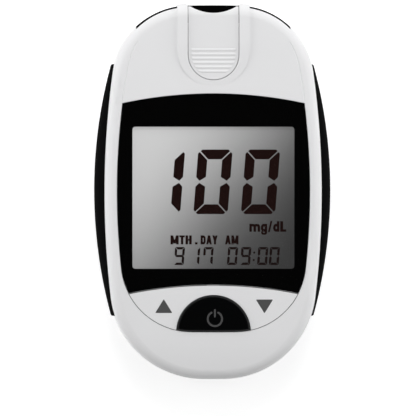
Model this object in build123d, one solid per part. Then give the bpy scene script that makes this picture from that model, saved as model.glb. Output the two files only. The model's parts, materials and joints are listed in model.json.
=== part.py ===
from build123d import *
import math
import os

# Palm-sized blood glucose meter, lying on its back. Millimetres throughout.
# +X is the meter's right, +Y points to the end that takes the test strip, +Z comes out of the display.
# The origin is on the surface the meter rests on, under the middle of its outline.

# ---------------------------------------------------------------- driving sizes
# Case outline: tangent arcs, symmetric about X = 0
CASE_TOP = 43.76
CASE_BOTTOM = -44.0
CASE_HALF_WIDTH = 25.48
CASE_WIDEST_Y = -0.2
CASE_SIDE_R = 203.0
CASE_TOP_R = 300.0
CASE_TOP_CORNER_SHARE = 0.706
CASE_BOTTOM_R = 200.0
CASE_BOTTOM_CORNER_SHARE = 0.856

# Case in depth
FACE_Z = 21.0
BACK_Z = 0.5
PARTING_Z = 9.5
WALL = 1.6
FRONT_ROUND = 2.5
BACK_ROUND = 4.5
CHIN_LENGTH = 10.2
CHIN_R = 60.0

# Crease that carries the window's side line on towards the strip end
CREASE_HALF_WIDTH = 0.22
CREASE_DEPTH = 0.1
CREASE_END_MARGIN = 8.6

# Lip that aligns the two covers
LIP_WALL = 0.75
LIP_HEIGHT = 1.0
LIP_PLAY = 0.05

# Window and key area: one shield outline, split by an arc
SHIELD_SIDE_MARGIN = 2.75
SHIELD_WIDEST_Y = 0.0
SHIELD_SIDE_R = 167.0
SHIELD_END_MARGIN = 11.0
SHIELD_BOTTOM_R = 400.0
SHIELD_CORNER_SHARE = 0.733
WINDOW_TOP_MARGIN = 20.68
WINDOW_TOP_R = 101.5
KEY_AREA_LENGTH = 11.1
WINDOW_BOTTOM_R = 99.7
LENS_THICKNESS = 1.2
LENS_SINK = 0.05
LENS_PLAY = 0.08
LENS_CHAMFER = 0.12
GASKET_THICKNESS = 0.15
GASKET_INSET = 0.3
LEDGE_THICKNESS = 1.2
LEDGE_MARGIN = 0.9

# Display
VIEW_SIDE_BORDER = 3.73
VIEW_TOP_BORDER = 7.86
VIEW_BOTTOM_BORDER = 3.82
VIEW_MARGIN = 0.5
GLASS_SIDE_MARGIN = 1.7
GLASS_END_MARGIN = 1.6
GLASS_THICKNESS = 0.7
POLARISER_THICKNESS = 0.2
POLARISER_INSET = 0.4
HOLDER_WALL = 1.1
HOLDER_PLAY = 0.1
HOLDER_SIDE_SHELF = 1.6
HOLDER_END_SHELF = 2.8
ZEBRA_WIDTH = 1.5
ZEBRA_EDGE = 0.55
ZEBRA_PLAY = 0.1

# Circuit board
BOARD_DEPTH = 8.0
BOARD_THICKNESS = 1.0
BOARD_MARGIN = 2.5
BOARD_TOP_MARGIN = 4.56
BOARD_BOTTOM_MARGIN = 5.0
BOARD_NOTCH_PLAY = 0.5

# Keys
KEY_GAP = 0.15
PLATE_THICKNESS = 1.4
POWER_R = 8.63
POWER_PROUD = 0.5
POWER_SKIRT = 0.9
POWER_EDGE = 0.6
POWER_TAB_HALF_WIDTH = 5.0
POWER_TAB_LENGTH = 1.2
POWER_TAB_THICKNESS = 0.55
POWER_STEM_OFFSET = 3.7
ARROW_SIDE_MARGIN = 10.9
ARROW_OFFSET = 6.1
STEM_R = 1.6
STEM_PLAY = 0.05
PIVOT_R = 0.7
PIVOT_LENGTH = 2.1
PIVOT_DROP = 1.7
PIVOT_PLAY = 0.03
PIVOT_WALL = 0.5
EAR_HALF_WIDTH = 1.3
EAR_THICKNESS = 0.7
EAR_MARGIN = 0.2
SWITCH_SIZE = 4.5
SWITCH_HEIGHT = 1.2
PLUNGER_R = 1.0
PLUNGER_HEIGHT = 0.3
MAT_SIDE_MARGIN = 3.67
MAT_TOP_REACH = 0.4
MAT_BOTTOM_MARGIN = 0.1
MAT_THICKNESS = 0.6
MAT_LIFT = 0.4
MAT_RIM = 1.0
MAT_CORNER_R = 1.5
NUB_R = 1.7
NUB_HEIGHT = 1.7

# Eject slider and the raised rail round it
SLIDER_HALF_WIDTH = 5.9
SLIDER_LENGTH = 11.56
SLIDER_PLAY = 0.14
SLIDER_LIFT = 0.15
SLIDER_TRAVEL = 5.0
THUMB_SCOOP_R = 10.3
THUMB_SCOOP_DEPTH = 1.83
RIB_COUNT = 6
RIB_PITCH = 1.01
RIB_FIRST_OFFSET = 1.05
RIB_R = 0.55
RIB_PROUD = 0.12
RIB_MARGIN = 0.75
RAIL_WIDTH = 2.46
RAIL_RAISE = 0.5
RAIL_END_ROUND = 0.6
RAIL_ROUND_OFFSET = 1.0
RAIL_FADE_LENGTH = 9.6
RAIL_FULL_OFFSET = 2.3
RAIL_DEPTH = 8.0
TRACK_FLOOR_THICKNESS = 0.9
TRACK_FLOOR_MARGIN = 0.9
LEG_HALF_WIDTH = 1.5
LEG_SETBACK = 3.0
LEG_LENGTH = 4.0
LEG_PLAY = 0.2
PEG_R = 0.8
PEG_HEAD_R = 1.25
PEG_HEAD_THICKNESS = 0.35
PEG_PLAY = 0.03
SLED_HALF_WIDTH = 3.5
SLED_BACK_MARGIN = 0.8
SLED_FRONT_MARGIN = 1.0
SLED_THICKNESS = 0.8
SLED_GAP = 0.1
FINGER_HALF_WIDTH = 1.0
FINGER_LENGTH = 1.4
FINGER_PLAY = 0.2

# Eject spring
SPRING_X = 8.9
SPRING_LIFT = 2.2
SPRING_R = 1.1
SPRING_WIRE_R = 0.16
SPRING_TURNS = 8
SPRING_LENGTH = 9.0
SPRING_STUB_R = 0.7
SPRING_STUB_LENGTH = 1.8
SPRING_STOP_THICKNESS = 1.0
SPRING_STOP_MARGIN = 0.2
SPRING_STOP_LIFT = 0.6

# Strip port
BAND_SIDE_MARGIN = 7.38
BAND_DROP = 1.1
BAND_THICKNESS = 2.4
PORT_BLOCK_LENGTH = 4.16
PORT_BLOCK_DROP = 1.7
STRIP_SLOT_HALF_WIDTH = 4.1
STRIP_SLOT_LIFT = 1.1
STRIP_SLOT_HEIGHT = 1.1
FUNNEL_FLARE = 0.8
FUNNEL_DEPTH = 1.2
CONNECTOR_HALF_WIDTH = 6.4
CONNECTOR_LENGTH = 11.4
CONNECTOR_ROOF = 0.8
CONNECTOR_WALL = 1.0
CONNECTOR_GAP = 0.2
CONTACT_COUNT = 5
CONTACT_PITCH = 1.3
CONTACT_WIDTH = 0.6
CONTACT_THICKNESS = 0.3
CONTACT_DROP = 0.25
CONTACT_BUMP_R = 0.45
CONTACT_BUMP_SETBACK = 2.5
CONTACT_TIP = 1.0
CONTACT_TAIL = 1.5
CONTACT_PLAY = 0.06

# Side grips
GRIP_PROUD = 2.32
GRIP_END_PROUD = 0.6
GRIP_END_ROUND = 0.5
GRIP_SECTION_R = 8.0
GRIP_LIFT = 1.9
GRIP_TOP_MARGIN = 13.76
GRIP_BOTTOM_MARGIN = 14.8
GRIP_INSET = 0.3

# Coin cells, their bay and its door
CELL_R = 10.0
CELL_THICKNESS = 3.2
CELL_CAN_STEP = 0.35
CELL_SPACING = 0.8
CELL_Y = -13.4
CELL_LIFT = 0.45
CELL_PLAY = 0.3
BAY_SIDE_MARGIN = 0.8
BAY_HINGE_MARGIN = 2.8
BAY_END_MARGIN = 1.8
BAY_WALL = 1.2
BAY_HEADROOM = 0.35
BAY_CEILING_THICKNESS = 1.0
BAY_FLOOR_THICKNESS = 1.1
CELL_BRIDGE_HALF_LENGTH = 4.6
DOOR_THICKNESS = 1.4
DOOR_PLAY = 0.12
DOOR_LIFT = 0.05
KNUCKLE_R = 1.2
KNUCKLE_HOUSING = 1.0
TRUNNION_R = 0.7
TRUNNION_PLAY = 0.05
TRUNNION_LENGTH = 0.95
CELL_PAD_R = 3.0
CELL_PAD_GAP = 0.1
NAIL_NOTCH_R = 5.0
NAIL_NOTCH_OFFSET = 1.6
NAIL_NOTCH_DEPTH = 0.7
CONTACT_SHEET = 0.3
CONTACT_POST_THICKNESS = 0.4
SPRING_LEAF_HALF_WIDTH = 2.0
SPRING_LEAF_HALF_LENGTH = 4.0
SPRING_LEAF_GAP = 0.03
SPRING_LEAF_POST_HALF_WIDTH = 1.0
RIM_CONTACT_HALF_WIDTH = 1.5
RIM_CONTACT_GAP = 0.05
RIM_CONTACT_FOOT = 0.6
WINDOW_PLAY = 0.25

# Fasteners
# An inset is from the case's side and from its nearer end
TOP_SCREW_MARGIN = 9.36
TOP_SCREW_SPRING_GAP = 0.3
BOTTOM_SCREW_INSET = (15.28, 7.8)
CASE_SCREW_R = 0.95
CASE_SCREW_HEAD_R = 1.9
CASE_SCREW_HEAD_HEIGHT = 1.3
CASE_SCREW_SINK = 0.6
CASE_SCREW_TIP_MARGIN = 3.0
SCREW_PLAY = 0.02
SCREW_HEAD_PLAY = 0.15
SCREW_HOLE_PLAY = 0.15
BOSS_R = 2.5
REAR_TUBE_R = 2.9
BOSS_JOINT_LIFT = 1.5
BOARD_SCREW_INSET = (8.28, 19.26)
BOARD_SCREW_R = 0.7
BOARD_SCREW_HEAD_R = 1.4
BOARD_SCREW_HEAD_HEIGHT = 0.9
BOARD_SCREW_LENGTH = 4.2
BOARD_BOSS_R = 2.0
SCREW_BLIND_END = 0.4
BOSS_ROOT = 0.3
DRIVE_SLOT_WIDTH = 0.42
DRIVE_SLOT_DEPTH = 0.55
DRIVE_SLOT_SHARE = 0.62

# Feet, label, sounder and data jack
TOP_FOOT_INSET = (8.48, 17.26)
BOTTOM_FOOT_INSET = (10.88, 13.8)
FOOT_R = 2.5
FOOT_SINK = 0.5
FOOT_ROUND = 0.2
FOOT_PLAY = 0.1
LABEL_WIDTH = 30.0
LABEL_HEIGHT = 16.0
LABEL_OFFSET = 12.1
LABEL_CORNER_R = 1.5
LABEL_SINK = 0.15
LABEL_THICKNESS = 0.12
LABEL_PLAY = 0.15
SOUNDER_INSET = 14.26
SOUNDER_R = 6.5
SOUNDER_BRASS = 0.2
SOUNDER_CERAMIC = 0.2
SOUNDER_CERAMIC_R = 5.0
SOUNDER_SEAT_WIDTH = 0.7
SOUNDER_SEAT_HEIGHT = 0.8
SOUNDER_RING_WALL = 1.0
SOUNDER_RING_HEIGHT = 1.5
SOUNDER_PLAY = 0.1
SOUNDER_PIN_R = 0.4
CERAMIC_PIN_X = -2.0
BRASS_PIN_INSET = 0.7
SOUND_HOLE_R = 0.5
SOUND_HOLE_CIRCLE_R = 2.0
SOUND_HOLE_COUNT = 6
JACK_BORE_R = 1.8
JACK_BORE_LENGTH = 11.0
JACK_NOSE_R = 2.5
JACK_NOSE_LENGTH = 1.6
JACK_SINK = 0.6
JACK_HALF_WIDTH = 3.5
JACK_HALF_HEIGHT = 2.8
JACK_LENGTH = 12.0
JACK_PLAY = 0.1

# Circuits
CHIP_SIZE = 10.0
CHIP_HEIGHT = 1.4
CHIP_Y = 10.0
CHIP_LIFT = 0.1
CHIP_LEADS_PER_SIDE = 12
CHIP_LEAD_PITCH = 0.7
CHIP_LEAD_WIDTH = 0.28
CHIP_LEAD_THICKNESS = 0.18
CHIP_LEAD_REACH = 1.0
CRYSTAL_PLACE = (9.5, 13.5)
CRYSTAL_R = 1.5
CRYSTAL_LENGTH = 6.0
MEMORY_PLACE = (-11.5, 12.0)
MEMORY_SIZE = (5.0, 4.0, 1.5)
REGULATOR_PLACE = (-11.0, 4.0)
REGULATOR_SIZE = (3.0, 1.6, 1.1)
CAPACITOR_PLACE = (11.0, 3.0)
CAPACITOR_R = 2.0
CAPACITOR_HEIGHT = 4.5
CHIP_RESISTOR_SIZE = (1.6, 0.8, 0.5)
CHIP_RESISTOR_COUNT = 6
CHIP_RESISTOR_PITCH = 2.2
CHIP_RESISTOR_Y = 19.5

# ---------------------------------------------------------------- sizes worked out from them
CASE_TOP_CORNER_R = CASE_TOP_CORNER_SHARE * CASE_HALF_WIDTH
CASE_BOTTOM_CORNER_R = CASE_BOTTOM_CORNER_SHARE * CASE_HALF_WIDTH
INNER_FACE_Z = FACE_Z - WALL
INNER_BACK_Z = BACK_Z + WALL
CHIN_START_Y = CASE_BOTTOM + CHIN_LENGTH
CREASE_END_Y = CASE_TOP - CREASE_END_MARGIN
SHIELD_HALF_WIDTH = CASE_HALF_WIDTH - SHIELD_SIDE_MARGIN
SHIELD_BOTTOM = CASE_BOTTOM + SHIELD_END_MARGIN
SHIELD_CORNER_R = SHIELD_CORNER_SHARE * SHIELD_HALF_WIDTH
WINDOW_TOP = CASE_TOP - WINDOW_TOP_MARGIN
WINDOW_BOTTOM = SHIELD_BOTTOM + KEY_AREA_LENGTH
VIEW_WIDTH = 2 * (SHIELD_HALF_WIDTH - VIEW_SIDE_BORDER)
VIEW_HEIGHT = WINDOW_TOP - VIEW_TOP_BORDER - WINDOW_BOTTOM - VIEW_BOTTOM_BORDER
VIEW_Y = WINDOW_TOP - VIEW_TOP_BORDER - VIEW_HEIGHT / 2
GLASS_WIDTH = VIEW_WIDTH + 2 * GLASS_SIDE_MARGIN
GLASS_HEIGHT = VIEW_HEIGHT + 2 * GLASS_END_MARGIN
BOARD_Z = FACE_Z - BOARD_DEPTH
BOARD_TOP_Z = BOARD_Z + BOARD_THICKNESS
BOARD_TOP_Y = CASE_TOP - BOARD_TOP_MARGIN
BOARD_BOTTOM_Y = CASE_BOTTOM + BOARD_BOTTOM_MARGIN
LENS_TOP_Z = FACE_Z - LENS_SINK
LENS_BACK_Z = LENS_TOP_Z - LENS_THICKNESS
LEDGE_Z = LENS_BACK_Z - GASKET_THICKNESS
LEDGE_BACK_Z = LEDGE_Z - LEDGE_THICKNESS
GLASS_TOP_Z = LEDGE_BACK_Z - POLARISER_THICKNESS
GLASS_BACK_Z = GLASS_TOP_Z - 2 * GLASS_THICKNESS
HOLDER_TOP_Z = LEDGE_BACK_Z - HOLDER_PLAY
HOLDER_WIDTH = GLASS_WIDTH + 2 * (HOLDER_PLAY + HOLDER_WALL)
HOLDER_HEIGHT = GLASS_HEIGHT + 2 * (HOLDER_PLAY + HOLDER_WALL)
PLATE_BACK_Z = FACE_Z - PLATE_THICKNESS
SWITCH_TOP_Z = BOARD_TOP_Z + SWITCH_HEIGHT
NUB_Z = SWITCH_TOP_Z + PLUNGER_HEIGHT
NUB_TOP_Z = NUB_Z + NUB_HEIGHT
MAT_Z = NUB_Z + MAT_LIFT
STEM_Z = NUB_TOP_Z + STEM_PLAY
POWER_Y = SHIELD_BOTTOM
POWER_STEM_Y = POWER_Y + POWER_STEM_OFFSET
ARROW_X = SHIELD_HALF_WIDTH - ARROW_SIDE_MARGIN
ARROW_Y = POWER_Y + ARROW_OFFSET
KEY_PLACES = ((0.0, POWER_STEM_Y), (ARROW_X, ARROW_Y), (-ARROW_X, ARROW_Y))
MAT_HALF_WIDTH = ARROW_X + MAT_SIDE_MARGIN
MAT_TOP_Y = WINDOW_BOTTOM + MAT_TOP_REACH
MAT_BOTTOM_Y = SHIELD_BOTTOM + MAT_BOTTOM_MARGIN
POWER_BACK_Z = PLATE_BACK_Z - POWER_SKIRT
EAR_Y = POWER_Y + POWER_R + KEY_GAP
PIVOT_Z = PLATE_BACK_Z - PIVOT_DROP
PIVOT_BLOCK_Y = EAR_Y + EAR_THICKNESS + KEY_GAP
PIVOT_BLOCK_END_Y = VIEW_Y - HOLDER_HEIGHT / 2 - HOLDER_PLAY
SLIDER_ROUND_Y = CASE_TOP - SLIDER_LENGTH
THUMB_SCOOP_Y = CASE_TOP - THUMB_SCOOP_DEPTH
RIB_FIRST_Y = SLIDER_ROUND_Y + RIB_FIRST_OFFSET
RAIL_ROUND_Y = SLIDER_ROUND_Y + RAIL_ROUND_OFFSET
RAIL_RISE_END_Y = SLIDER_ROUND_Y + RAIL_FULL_OFFSET
RAIL_RISE_START_Y = RAIL_RISE_END_Y - RAIL_FADE_LENGTH
RAIL_FOOT_Z = FACE_Z - RAIL_DEPTH
LEG_START_Y = SLIDER_ROUND_Y - LEG_SETBACK
TRACK_HALF_WIDTH = SLIDER_HALF_WIDTH + SLIDER_PLAY
TRACK_FLOOR_Z = INNER_FACE_Z
TRACK_BACK_Z = TRACK_FLOOR_Z - TRACK_FLOOR_THICKNESS
SLIDER_UNDERSIDE_Z = TRACK_FLOOR_Z + SLIDER_LIFT
RAIL_HALF_WIDTH = TRACK_HALF_WIDTH + RAIL_WIDTH
SLED_TOP_Z = TRACK_BACK_Z - SLED_GAP
SLED_Z = SLED_TOP_Z - SLED_THICKNESS
SLED_BACK_Y = LEG_START_Y - SLED_BACK_MARGIN
SLED_FRONT_Y = LEG_START_Y + LEG_LENGTH + SLED_FRONT_MARGIN
LEG_END_Y = LEG_START_Y + LEG_LENGTH
PEG_Y = LEG_START_Y + LEG_LENGTH / 2
BAND_HALF_WIDTH = CASE_HALF_WIDTH - BAND_SIDE_MARGIN
BAND_TOP_Z = FACE_Z - BAND_DROP
PORT_BLOCK_Y = CASE_TOP - PORT_BLOCK_LENGTH
PORT_BLOCK_TOP_Z = FACE_Z - PORT_BLOCK_DROP
STRIP_SLOT_Z = BOARD_TOP_Z + STRIP_SLOT_LIFT
SLOT_TOP_Z = STRIP_SLOT_Z + STRIP_SLOT_HEIGHT
CONNECTOR_FRONT_Y = PORT_BLOCK_Y - CONNECTOR_GAP
CONNECTOR_BACK_Y = CONNECTOR_FRONT_Y - CONNECTOR_LENGTH
CONNECTOR_TOP_Z = SLOT_TOP_Z + CONNECTOR_ROOF
CONTACT_BUMP_Y = CONNECTOR_FRONT_Y - CONTACT_BUMP_SETBACK
FINGER_START_Y = CONNECTOR_BACK_Y + CONNECTOR_WALL
FINGER_Z = STRIP_SLOT_Z + CONTACT_BUMP_R - CONTACT_DROP + FINGER_PLAY / 2
SPRING_START_Y = LEG_START_Y
SPRING_Z = BOARD_TOP_Z + SPRING_LIFT
SPRING_STOP_FOOT_Z = BOARD_TOP_Z + SPRING_STOP_LIFT
SPRING_STOP_Y = SPRING_START_Y + SPRING_LENGTH
CELL_X = CELL_R + CELL_SPACING / 2
BAY_HALF_WIDTH = CELL_X + CELL_R + BAY_SIDE_MARGIN
BAY_TOP_Y = CELL_Y + CELL_R + BAY_HINGE_MARGIN
BAY_BOTTOM_Y = CELL_Y - CELL_R - BAY_END_MARGIN
NAIL_NOTCH_Y = BAY_BOTTOM_Y + NAIL_NOTCH_OFFSET
DOOR_TOP_Z = BACK_Z + DOOR_THICKNESS
DOOR_HALF_WIDTH = BAY_HALF_WIDTH - DOOR_PLAY
GRIP_HALF_WIDTH = CASE_HALF_WIDTH + GRIP_PROUD
GRIP_Z = PARTING_Z + GRIP_LIFT
GRIP_TOP_Y = CASE_TOP - GRIP_TOP_MARGIN
GRIP_BOTTOM_Y = CASE_BOTTOM + GRIP_BOTTOM_MARGIN
GRIP_Y = (GRIP_TOP_Y + GRIP_BOTTOM_Y) / 2
HINGE_Y = BAY_TOP_Y - KNUCKLE_R - DOOR_PLAY
HINGE_Z = BACK_Z + KNUCKLE_R
CELL_Z = DOOR_TOP_Z + CELL_LIFT
CELL_TOP_Z = CELL_Z + CELL_THICKNESS
BAY_CEILING_Z = CELL_TOP_Z + BAY_HEADROOM
BAY_FLOOR_Z = DOOR_TOP_Z + DOOR_LIFT + BAY_FLOOR_THICKNESS
CELL_CENTRES = ((CELL_X, CELL_Y), (-CELL_X, CELL_Y))
LEAF_TOP_Z = CELL_TOP_Z + SPRING_LEAF_GAP + CONTACT_SHEET
BOTH_SIDES = (1, -1)
TOP_SCREW_X = SPRING_X + SPRING_R + SPRING_STOP_MARGIN + TOP_SCREW_SPRING_GAP + BOSS_R
CASE_SCREW_PLACES = [(side * TOP_SCREW_X, CASE_TOP - TOP_SCREW_MARGIN) for side in BOTH_SIDES] + [
    (side * (CASE_HALF_WIDTH - BOTTOM_SCREW_INSET[0]), CASE_BOTTOM + BOTTOM_SCREW_INSET[1])
    for side in BOTH_SIDES
]
BOARD_SCREW_PLACES = [
    (side * (CASE_HALF_WIDTH - BOARD_SCREW_INSET[0]), CASE_TOP - BOARD_SCREW_INSET[1])
    for side in BOTH_SIDES
]
FOOT_PLACES = [
    (side * (CASE_HALF_WIDTH - TOP_FOOT_INSET[0]), CASE_TOP - TOP_FOOT_INSET[1]) for side in BOTH_SIDES
] + [
    (side * (CASE_HALF_WIDTH - BOTTOM_FOOT_INSET[0]), CASE_BOTTOM + BOTTOM_FOOT_INSET[1])
    for side in BOTH_SIDES
]
BOSS_JOINT_Z = PARTING_Z + BOSS_JOINT_LIFT
SCREW_HEAD_Z = BACK_Z + CASE_SCREW_SINK
SCREW_SHOULDER_Z = SCREW_HEAD_Z + CASE_SCREW_HEAD_HEIGHT
CASE_SCREW_TIP_Z = INNER_FACE_Z - CASE_SCREW_TIP_MARGIN
BOARD_SCREW_TIP_Z = BOARD_Z + BOARD_SCREW_LENGTH
LABEL_Y = BAY_TOP_Y + LABEL_OFFSET
SOUNDER_Y = CASE_TOP - SOUNDER_INSET
SOUNDER_PIN_PLACES = ((CERAMIC_PIN_X, SOUNDER_Y), (SOUNDER_R - BRASS_PIN_INSET, SOUNDER_Y))
SOUNDER_SEAT_Z = INNER_BACK_Z + SOUNDER_SEAT_HEIGHT
JACK_Z = BOARD_Z - JACK_HALF_HEIGHT
JACK_FRONT_Y = CASE_BOTTOM + JACK_SINK
JACK_BACK_Y = JACK_FRONT_Y + JACK_LENGTH
# How far open sides reach past the case, and how far a cut starts outside what it opens
BEYOND = 10.0
CUT = 1.0


# ---------------------------------------------------------------- outlines
def corner_centre(end_centre, end_r, side_centre, side_r, corner_r, end_sign):
    """Centre of a corner arc that lies inside an end arc and a side arc and touches both."""
    span = math.dist(end_centre, side_centre)
    reach_end = end_r - corner_r
    reach_side = side_r - corner_r
    along = (span**2 + reach_end**2 - reach_side**2) / (2 * span)
    off = math.sqrt(reach_end**2 - along**2)
    ux = (side_centre[0] - end_centre[0]) / span
    uy = (side_centre[1] - end_centre[1]) / span
    mid = (end_centre[0] + ux * along, end_centre[1] + uy * along)
    found = [(mid[0] + s * uy * off, mid[1] - s * ux * off) for s in (1, -1)]
    return max(found, key=lambda p: p[0] + end_sign * p[1])


def beyond_centre(origin, through, radius):
    """The point at that radius from origin, on the line through another point."""
    share = radius / math.dist(origin, through)
    return (
        origin[0] + (through[0] - origin[0]) * share,
        origin[1] + (through[1] - origin[1]) * share,
    )


def corner_points(end_y, end_r, side_x, side_y, side_r, corner_r, end_sign):
    """Tangent point on the end arc, middle of the corner arc, and tangent point on the side arc."""
    end_centre = (0.0, end_y - end_sign * end_r)
    side_centre = (side_x - side_r, side_y)
    centre = corner_centre(end_centre, end_r, side_centre, side_r, corner_r, end_sign)
    on_end = beyond_centre(end_centre, centre, end_r)
    on_side = beyond_centre(side_centre, centre, side_r)
    between = ((on_end[0] + on_side[0]) / 2, (on_end[1] + on_side[1]) / 2)
    return on_end, beyond_centre(centre, between, corner_r), on_side


def left(point):
    return (-point[0], point[1])


def oval(side_x, side_y, side_r, top, top_r, top_corner_r, bottom, bottom_r, bottom_corner_r):
    """Face bounded by eight tangent arcs, symmetric about X = 0."""
    top_end, top_mid, top_side = corner_points(top, top_r, side_x, side_y, side_r, top_corner_r, 1)
    low_end, low_mid, low_side = corner_points(
        bottom, bottom_r, side_x, side_y, side_r, bottom_corner_r, -1
    )
    edges = [
        ThreePointArc(left(top_end), (0, top), top_end),
        ThreePointArc(top_end, top_mid, top_side),
        ThreePointArc(top_side, (side_x, side_y), low_side),
        ThreePointArc(low_side, low_mid, low_end),
        ThreePointArc(low_end, (0, bottom), left(low_end)),
        ThreePointArc(left(low_end), left(low_mid), left(low_side)),
        ThreePointArc(left(low_side), (-side_x, side_y), left(top_side)),
        ThreePointArc(left(top_side), left(top_mid), left(top_end)),
    ]
    return make_face(edges)


def case_face(grow=0.0):
    """The case's plan outline, moved outwards by grow."""
    return oval(
        CASE_HALF_WIDTH + grow,
        CASE_WIDEST_Y,
        CASE_SIDE_R + grow,
        CASE_TOP + grow,
        CASE_TOP_R + grow,
        CASE_TOP_CORNER_R + grow,
        CASE_BOTTOM - grow,
        CASE_BOTTOM_R + grow,
        CASE_BOTTOM_CORNER_R + grow,
    )


def disc(radius, x=0.0, y=0.0):
    return Pos(x, y) * Circle(radius)


def box_face(x_low, x_high, y_low, y_high):
    middle = Pos((x_low + x_high) / 2, (y_low + y_high) / 2)
    return middle * Rectangle(x_high - x_low, y_high - y_low)


def shield_face(grow=0.0):
    """Outline that the window and the key area share: square top corners, round bottom corners."""
    rounded = oval(
        SHIELD_HALF_WIDTH + grow,
        SHIELD_WIDEST_Y,
        SHIELD_SIDE_R + grow,
        CASE_TOP + grow,
        CASE_TOP_R + grow,
        CASE_TOP_CORNER_R + grow,
        SHIELD_BOTTOM - grow,
        SHIELD_BOTTOM_R + grow,
        SHIELD_CORNER_R + grow,
    )
    return rounded & disc(WINDOW_TOP_R + grow, y=WINDOW_TOP - WINDOW_TOP_R)


def window_face(grow=0.0):
    return shield_face(grow) - disc(WINDOW_BOTTOM_R - grow, y=WINDOW_BOTTOM - WINDOW_BOTTOM_R)


def key_area_face(grow=0.0):
    return shield_face(grow) & disc(WINDOW_BOTTOM_R + grow, y=WINDOW_BOTTOM - WINDOW_BOTTOM_R)


def power_face(grow=0.0):
    return disc(POWER_R + grow, y=POWER_Y)


def tongue_face(half_width, round_y, end_y):
    """Strip with a round lower end, running up to end_y."""
    return box_face(-half_width, half_width, round_y, end_y) + disc(half_width, y=round_y)


def track_face():
    return tongue_face(TRACK_HALF_WIDTH, SLIDER_ROUND_Y, CASE_TOP + BEYOND)


def view_rectangle(width, height, corner_r=0.0):
    """Rectangle centred on the display."""
    if corner_r:
        return Pos(0, VIEW_Y) * RectangleRounded(width, height, corner_r)
    return Pos(0, VIEW_Y) * Rectangle(width, height)


# ---------------------------------------------------------------- solids
def prism(face, z_low, z_high):
    return extrude(Pos(0, 0, z_low) * face, amount=z_high - z_low, dir=(0, 0, 1))


def block(x_low, x_high, y_low, y_high, z_low, z_high):
    return prism(box_face(x_low, x_high, y_low, y_high), z_low, z_high)


def rod(radius, x, y, z_low, z_high):
    return prism(disc(radius, x, y), z_low, z_high)


def rod_along_x(radius, x_low, x_high, y, z):
    return Pos((x_low + x_high) / 2, y, z) * Rot(0, 90, 0) * Cylinder(radius, x_high - x_low)


def rod_along_y(radius, x, y_low, y_high, z):
    return Pos(x, (y_low + y_high) / 2, z) * Rot(90, 0, 0) * Cylinder(radius, y_high - y_low)


def mirrored(solid):
    return mirror(solid, about=Plane.YZ)


def across(y_low, y_high, z_low, z_high):
    """Block as wide as the whole case."""
    reach = CASE_HALF_WIDTH + BEYOND
    return block(-reach, reach, y_low, y_high, z_low, z_high)


def pebble(grow=0.0):
    """The closed case as one solid, with every surface moved outwards by grow."""
    body = prism(case_face(grow), BACK_Z - grow, FACE_Z + grow)
    reach = CASE_HALF_WIDTH + BEYOND
    chin = rod_along_x(CHIN_R + grow, -reach, reach, CHIN_START_Y, FACE_Z - CHIN_R)
    body = body - (across(CASE_BOTTOM - BEYOND, CHIN_START_Y, PARTING_Z, FACE_Z + BEYOND) - chin)
    top_z = FACE_Z - FRONT_ROUND
    rim = [e for e in body.edges() if e.center().Z > top_z and e.geom_type != GeomType.LINE]
    body = fillet(rim, FRONT_ROUND + grow)
    return fillet(body.edges().group_by(Axis.Z)[0], BACK_ROUND + grow)


def case_side_x(y):
    """Half width of the case at y, on the arc of its side."""
    return CASE_HALF_WIDTH - CASE_SIDE_R + math.sqrt(CASE_SIDE_R**2 - (y - CASE_WIDEST_Y) ** 2)


def grip_solid():
    """Right-hand grip: a slice of a torus whose outer arc bulges past the case's side."""
    half_length = GRIP_TOP_Y - GRIP_Y
    rise = GRIP_HALF_WIDTH - case_side_x(GRIP_TOP_Y) - GRIP_END_PROUD
    arc_r = (half_length**2 + rise**2) / (2 * rise)
    ring = Pos(GRIP_HALF_WIDTH - arc_r, GRIP_Y, GRIP_Z) * Torus(arc_r - GRIP_SECTION_R, GRIP_SECTION_R)
    window = block(CASE_HALF_WIDTH / 2, GRIP_HALF_WIDTH + BEYOND, GRIP_BOTTOM_Y, GRIP_TOP_Y, 0, FACE_Z)
    grip = ring & window
    rims = [e for e in grip.edges() if abs(e.center().Y - GRIP_Y) > half_length - GRIP_END_ROUND]
    outer_rims = [e for e in rims if e.geom_type != GeomType.LINE]
    return fillet(outer_rims, GRIP_END_ROUND) - prism(case_face(-GRIP_INSET), 0, FACE_Z)


def band_ring():
    """Space that the end band takes out of the case's wall."""
    ring = case_face(BEYOND) - case_face(-BAND_THICKNESS)
    window = box_face(-BAND_HALF_WIDTH, BAND_HALF_WIDTH, CASE_TOP / 2, CASE_TOP + BEYOND)
    return prism(ring & window, PARTING_Z, BAND_TOP_Z)


def port_block():
    """Space behind the end wall for the body of the strip port."""
    return block(
        -TRACK_HALF_WIDTH, TRACK_HALF_WIDTH, PORT_BLOCK_Y, CASE_TOP + BEYOND, PARTING_Z, PORT_BLOCK_TOP_Z
    )


def lip_ring(play=0.0):
    """Ring inside the wall that locates one cover in the other."""
    return case_face(LIP_WALL - WALL + play)


def jack_notch():
    inner_y = JACK_FRONT_Y + JACK_NOSE_LENGTH + CUT
    return rod_along_y(JACK_NOSE_R + JACK_PLAY, 0, CASE_BOTTOM - BEYOND, inner_y, JACK_Z)


# ---------------------------------------------------------------- covers
def rail_face():
    """Border round the track. Its two ends have rounded corners where they pass the case's end."""
    border = tongue_face(RAIL_HALF_WIDTH, RAIL_ROUND_Y, CASE_TOP + BEYOND) - track_face()
    low_y = RAIL_ROUND_Y - RAIL_HALF_WIDTH
    room = box_face(-RAIL_HALF_WIDTH, RAIL_HALF_WIDTH, low_y, CASE_TOP - RAIL_END_ROUND)
    middle_x = TRACK_HALF_WIDTH + RAIL_WIDTH / 2
    middle_y = CASE_TOP + RAIL_RAISE - SLIDER_LENGTH / 2
    for side in BOTH_SIDES:
        room += Pos(side * middle_x, middle_y) * RectangleRounded(RAIL_WIDTH, SLIDER_LENGTH, RAIL_END_ROUND)
    return border & room


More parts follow.
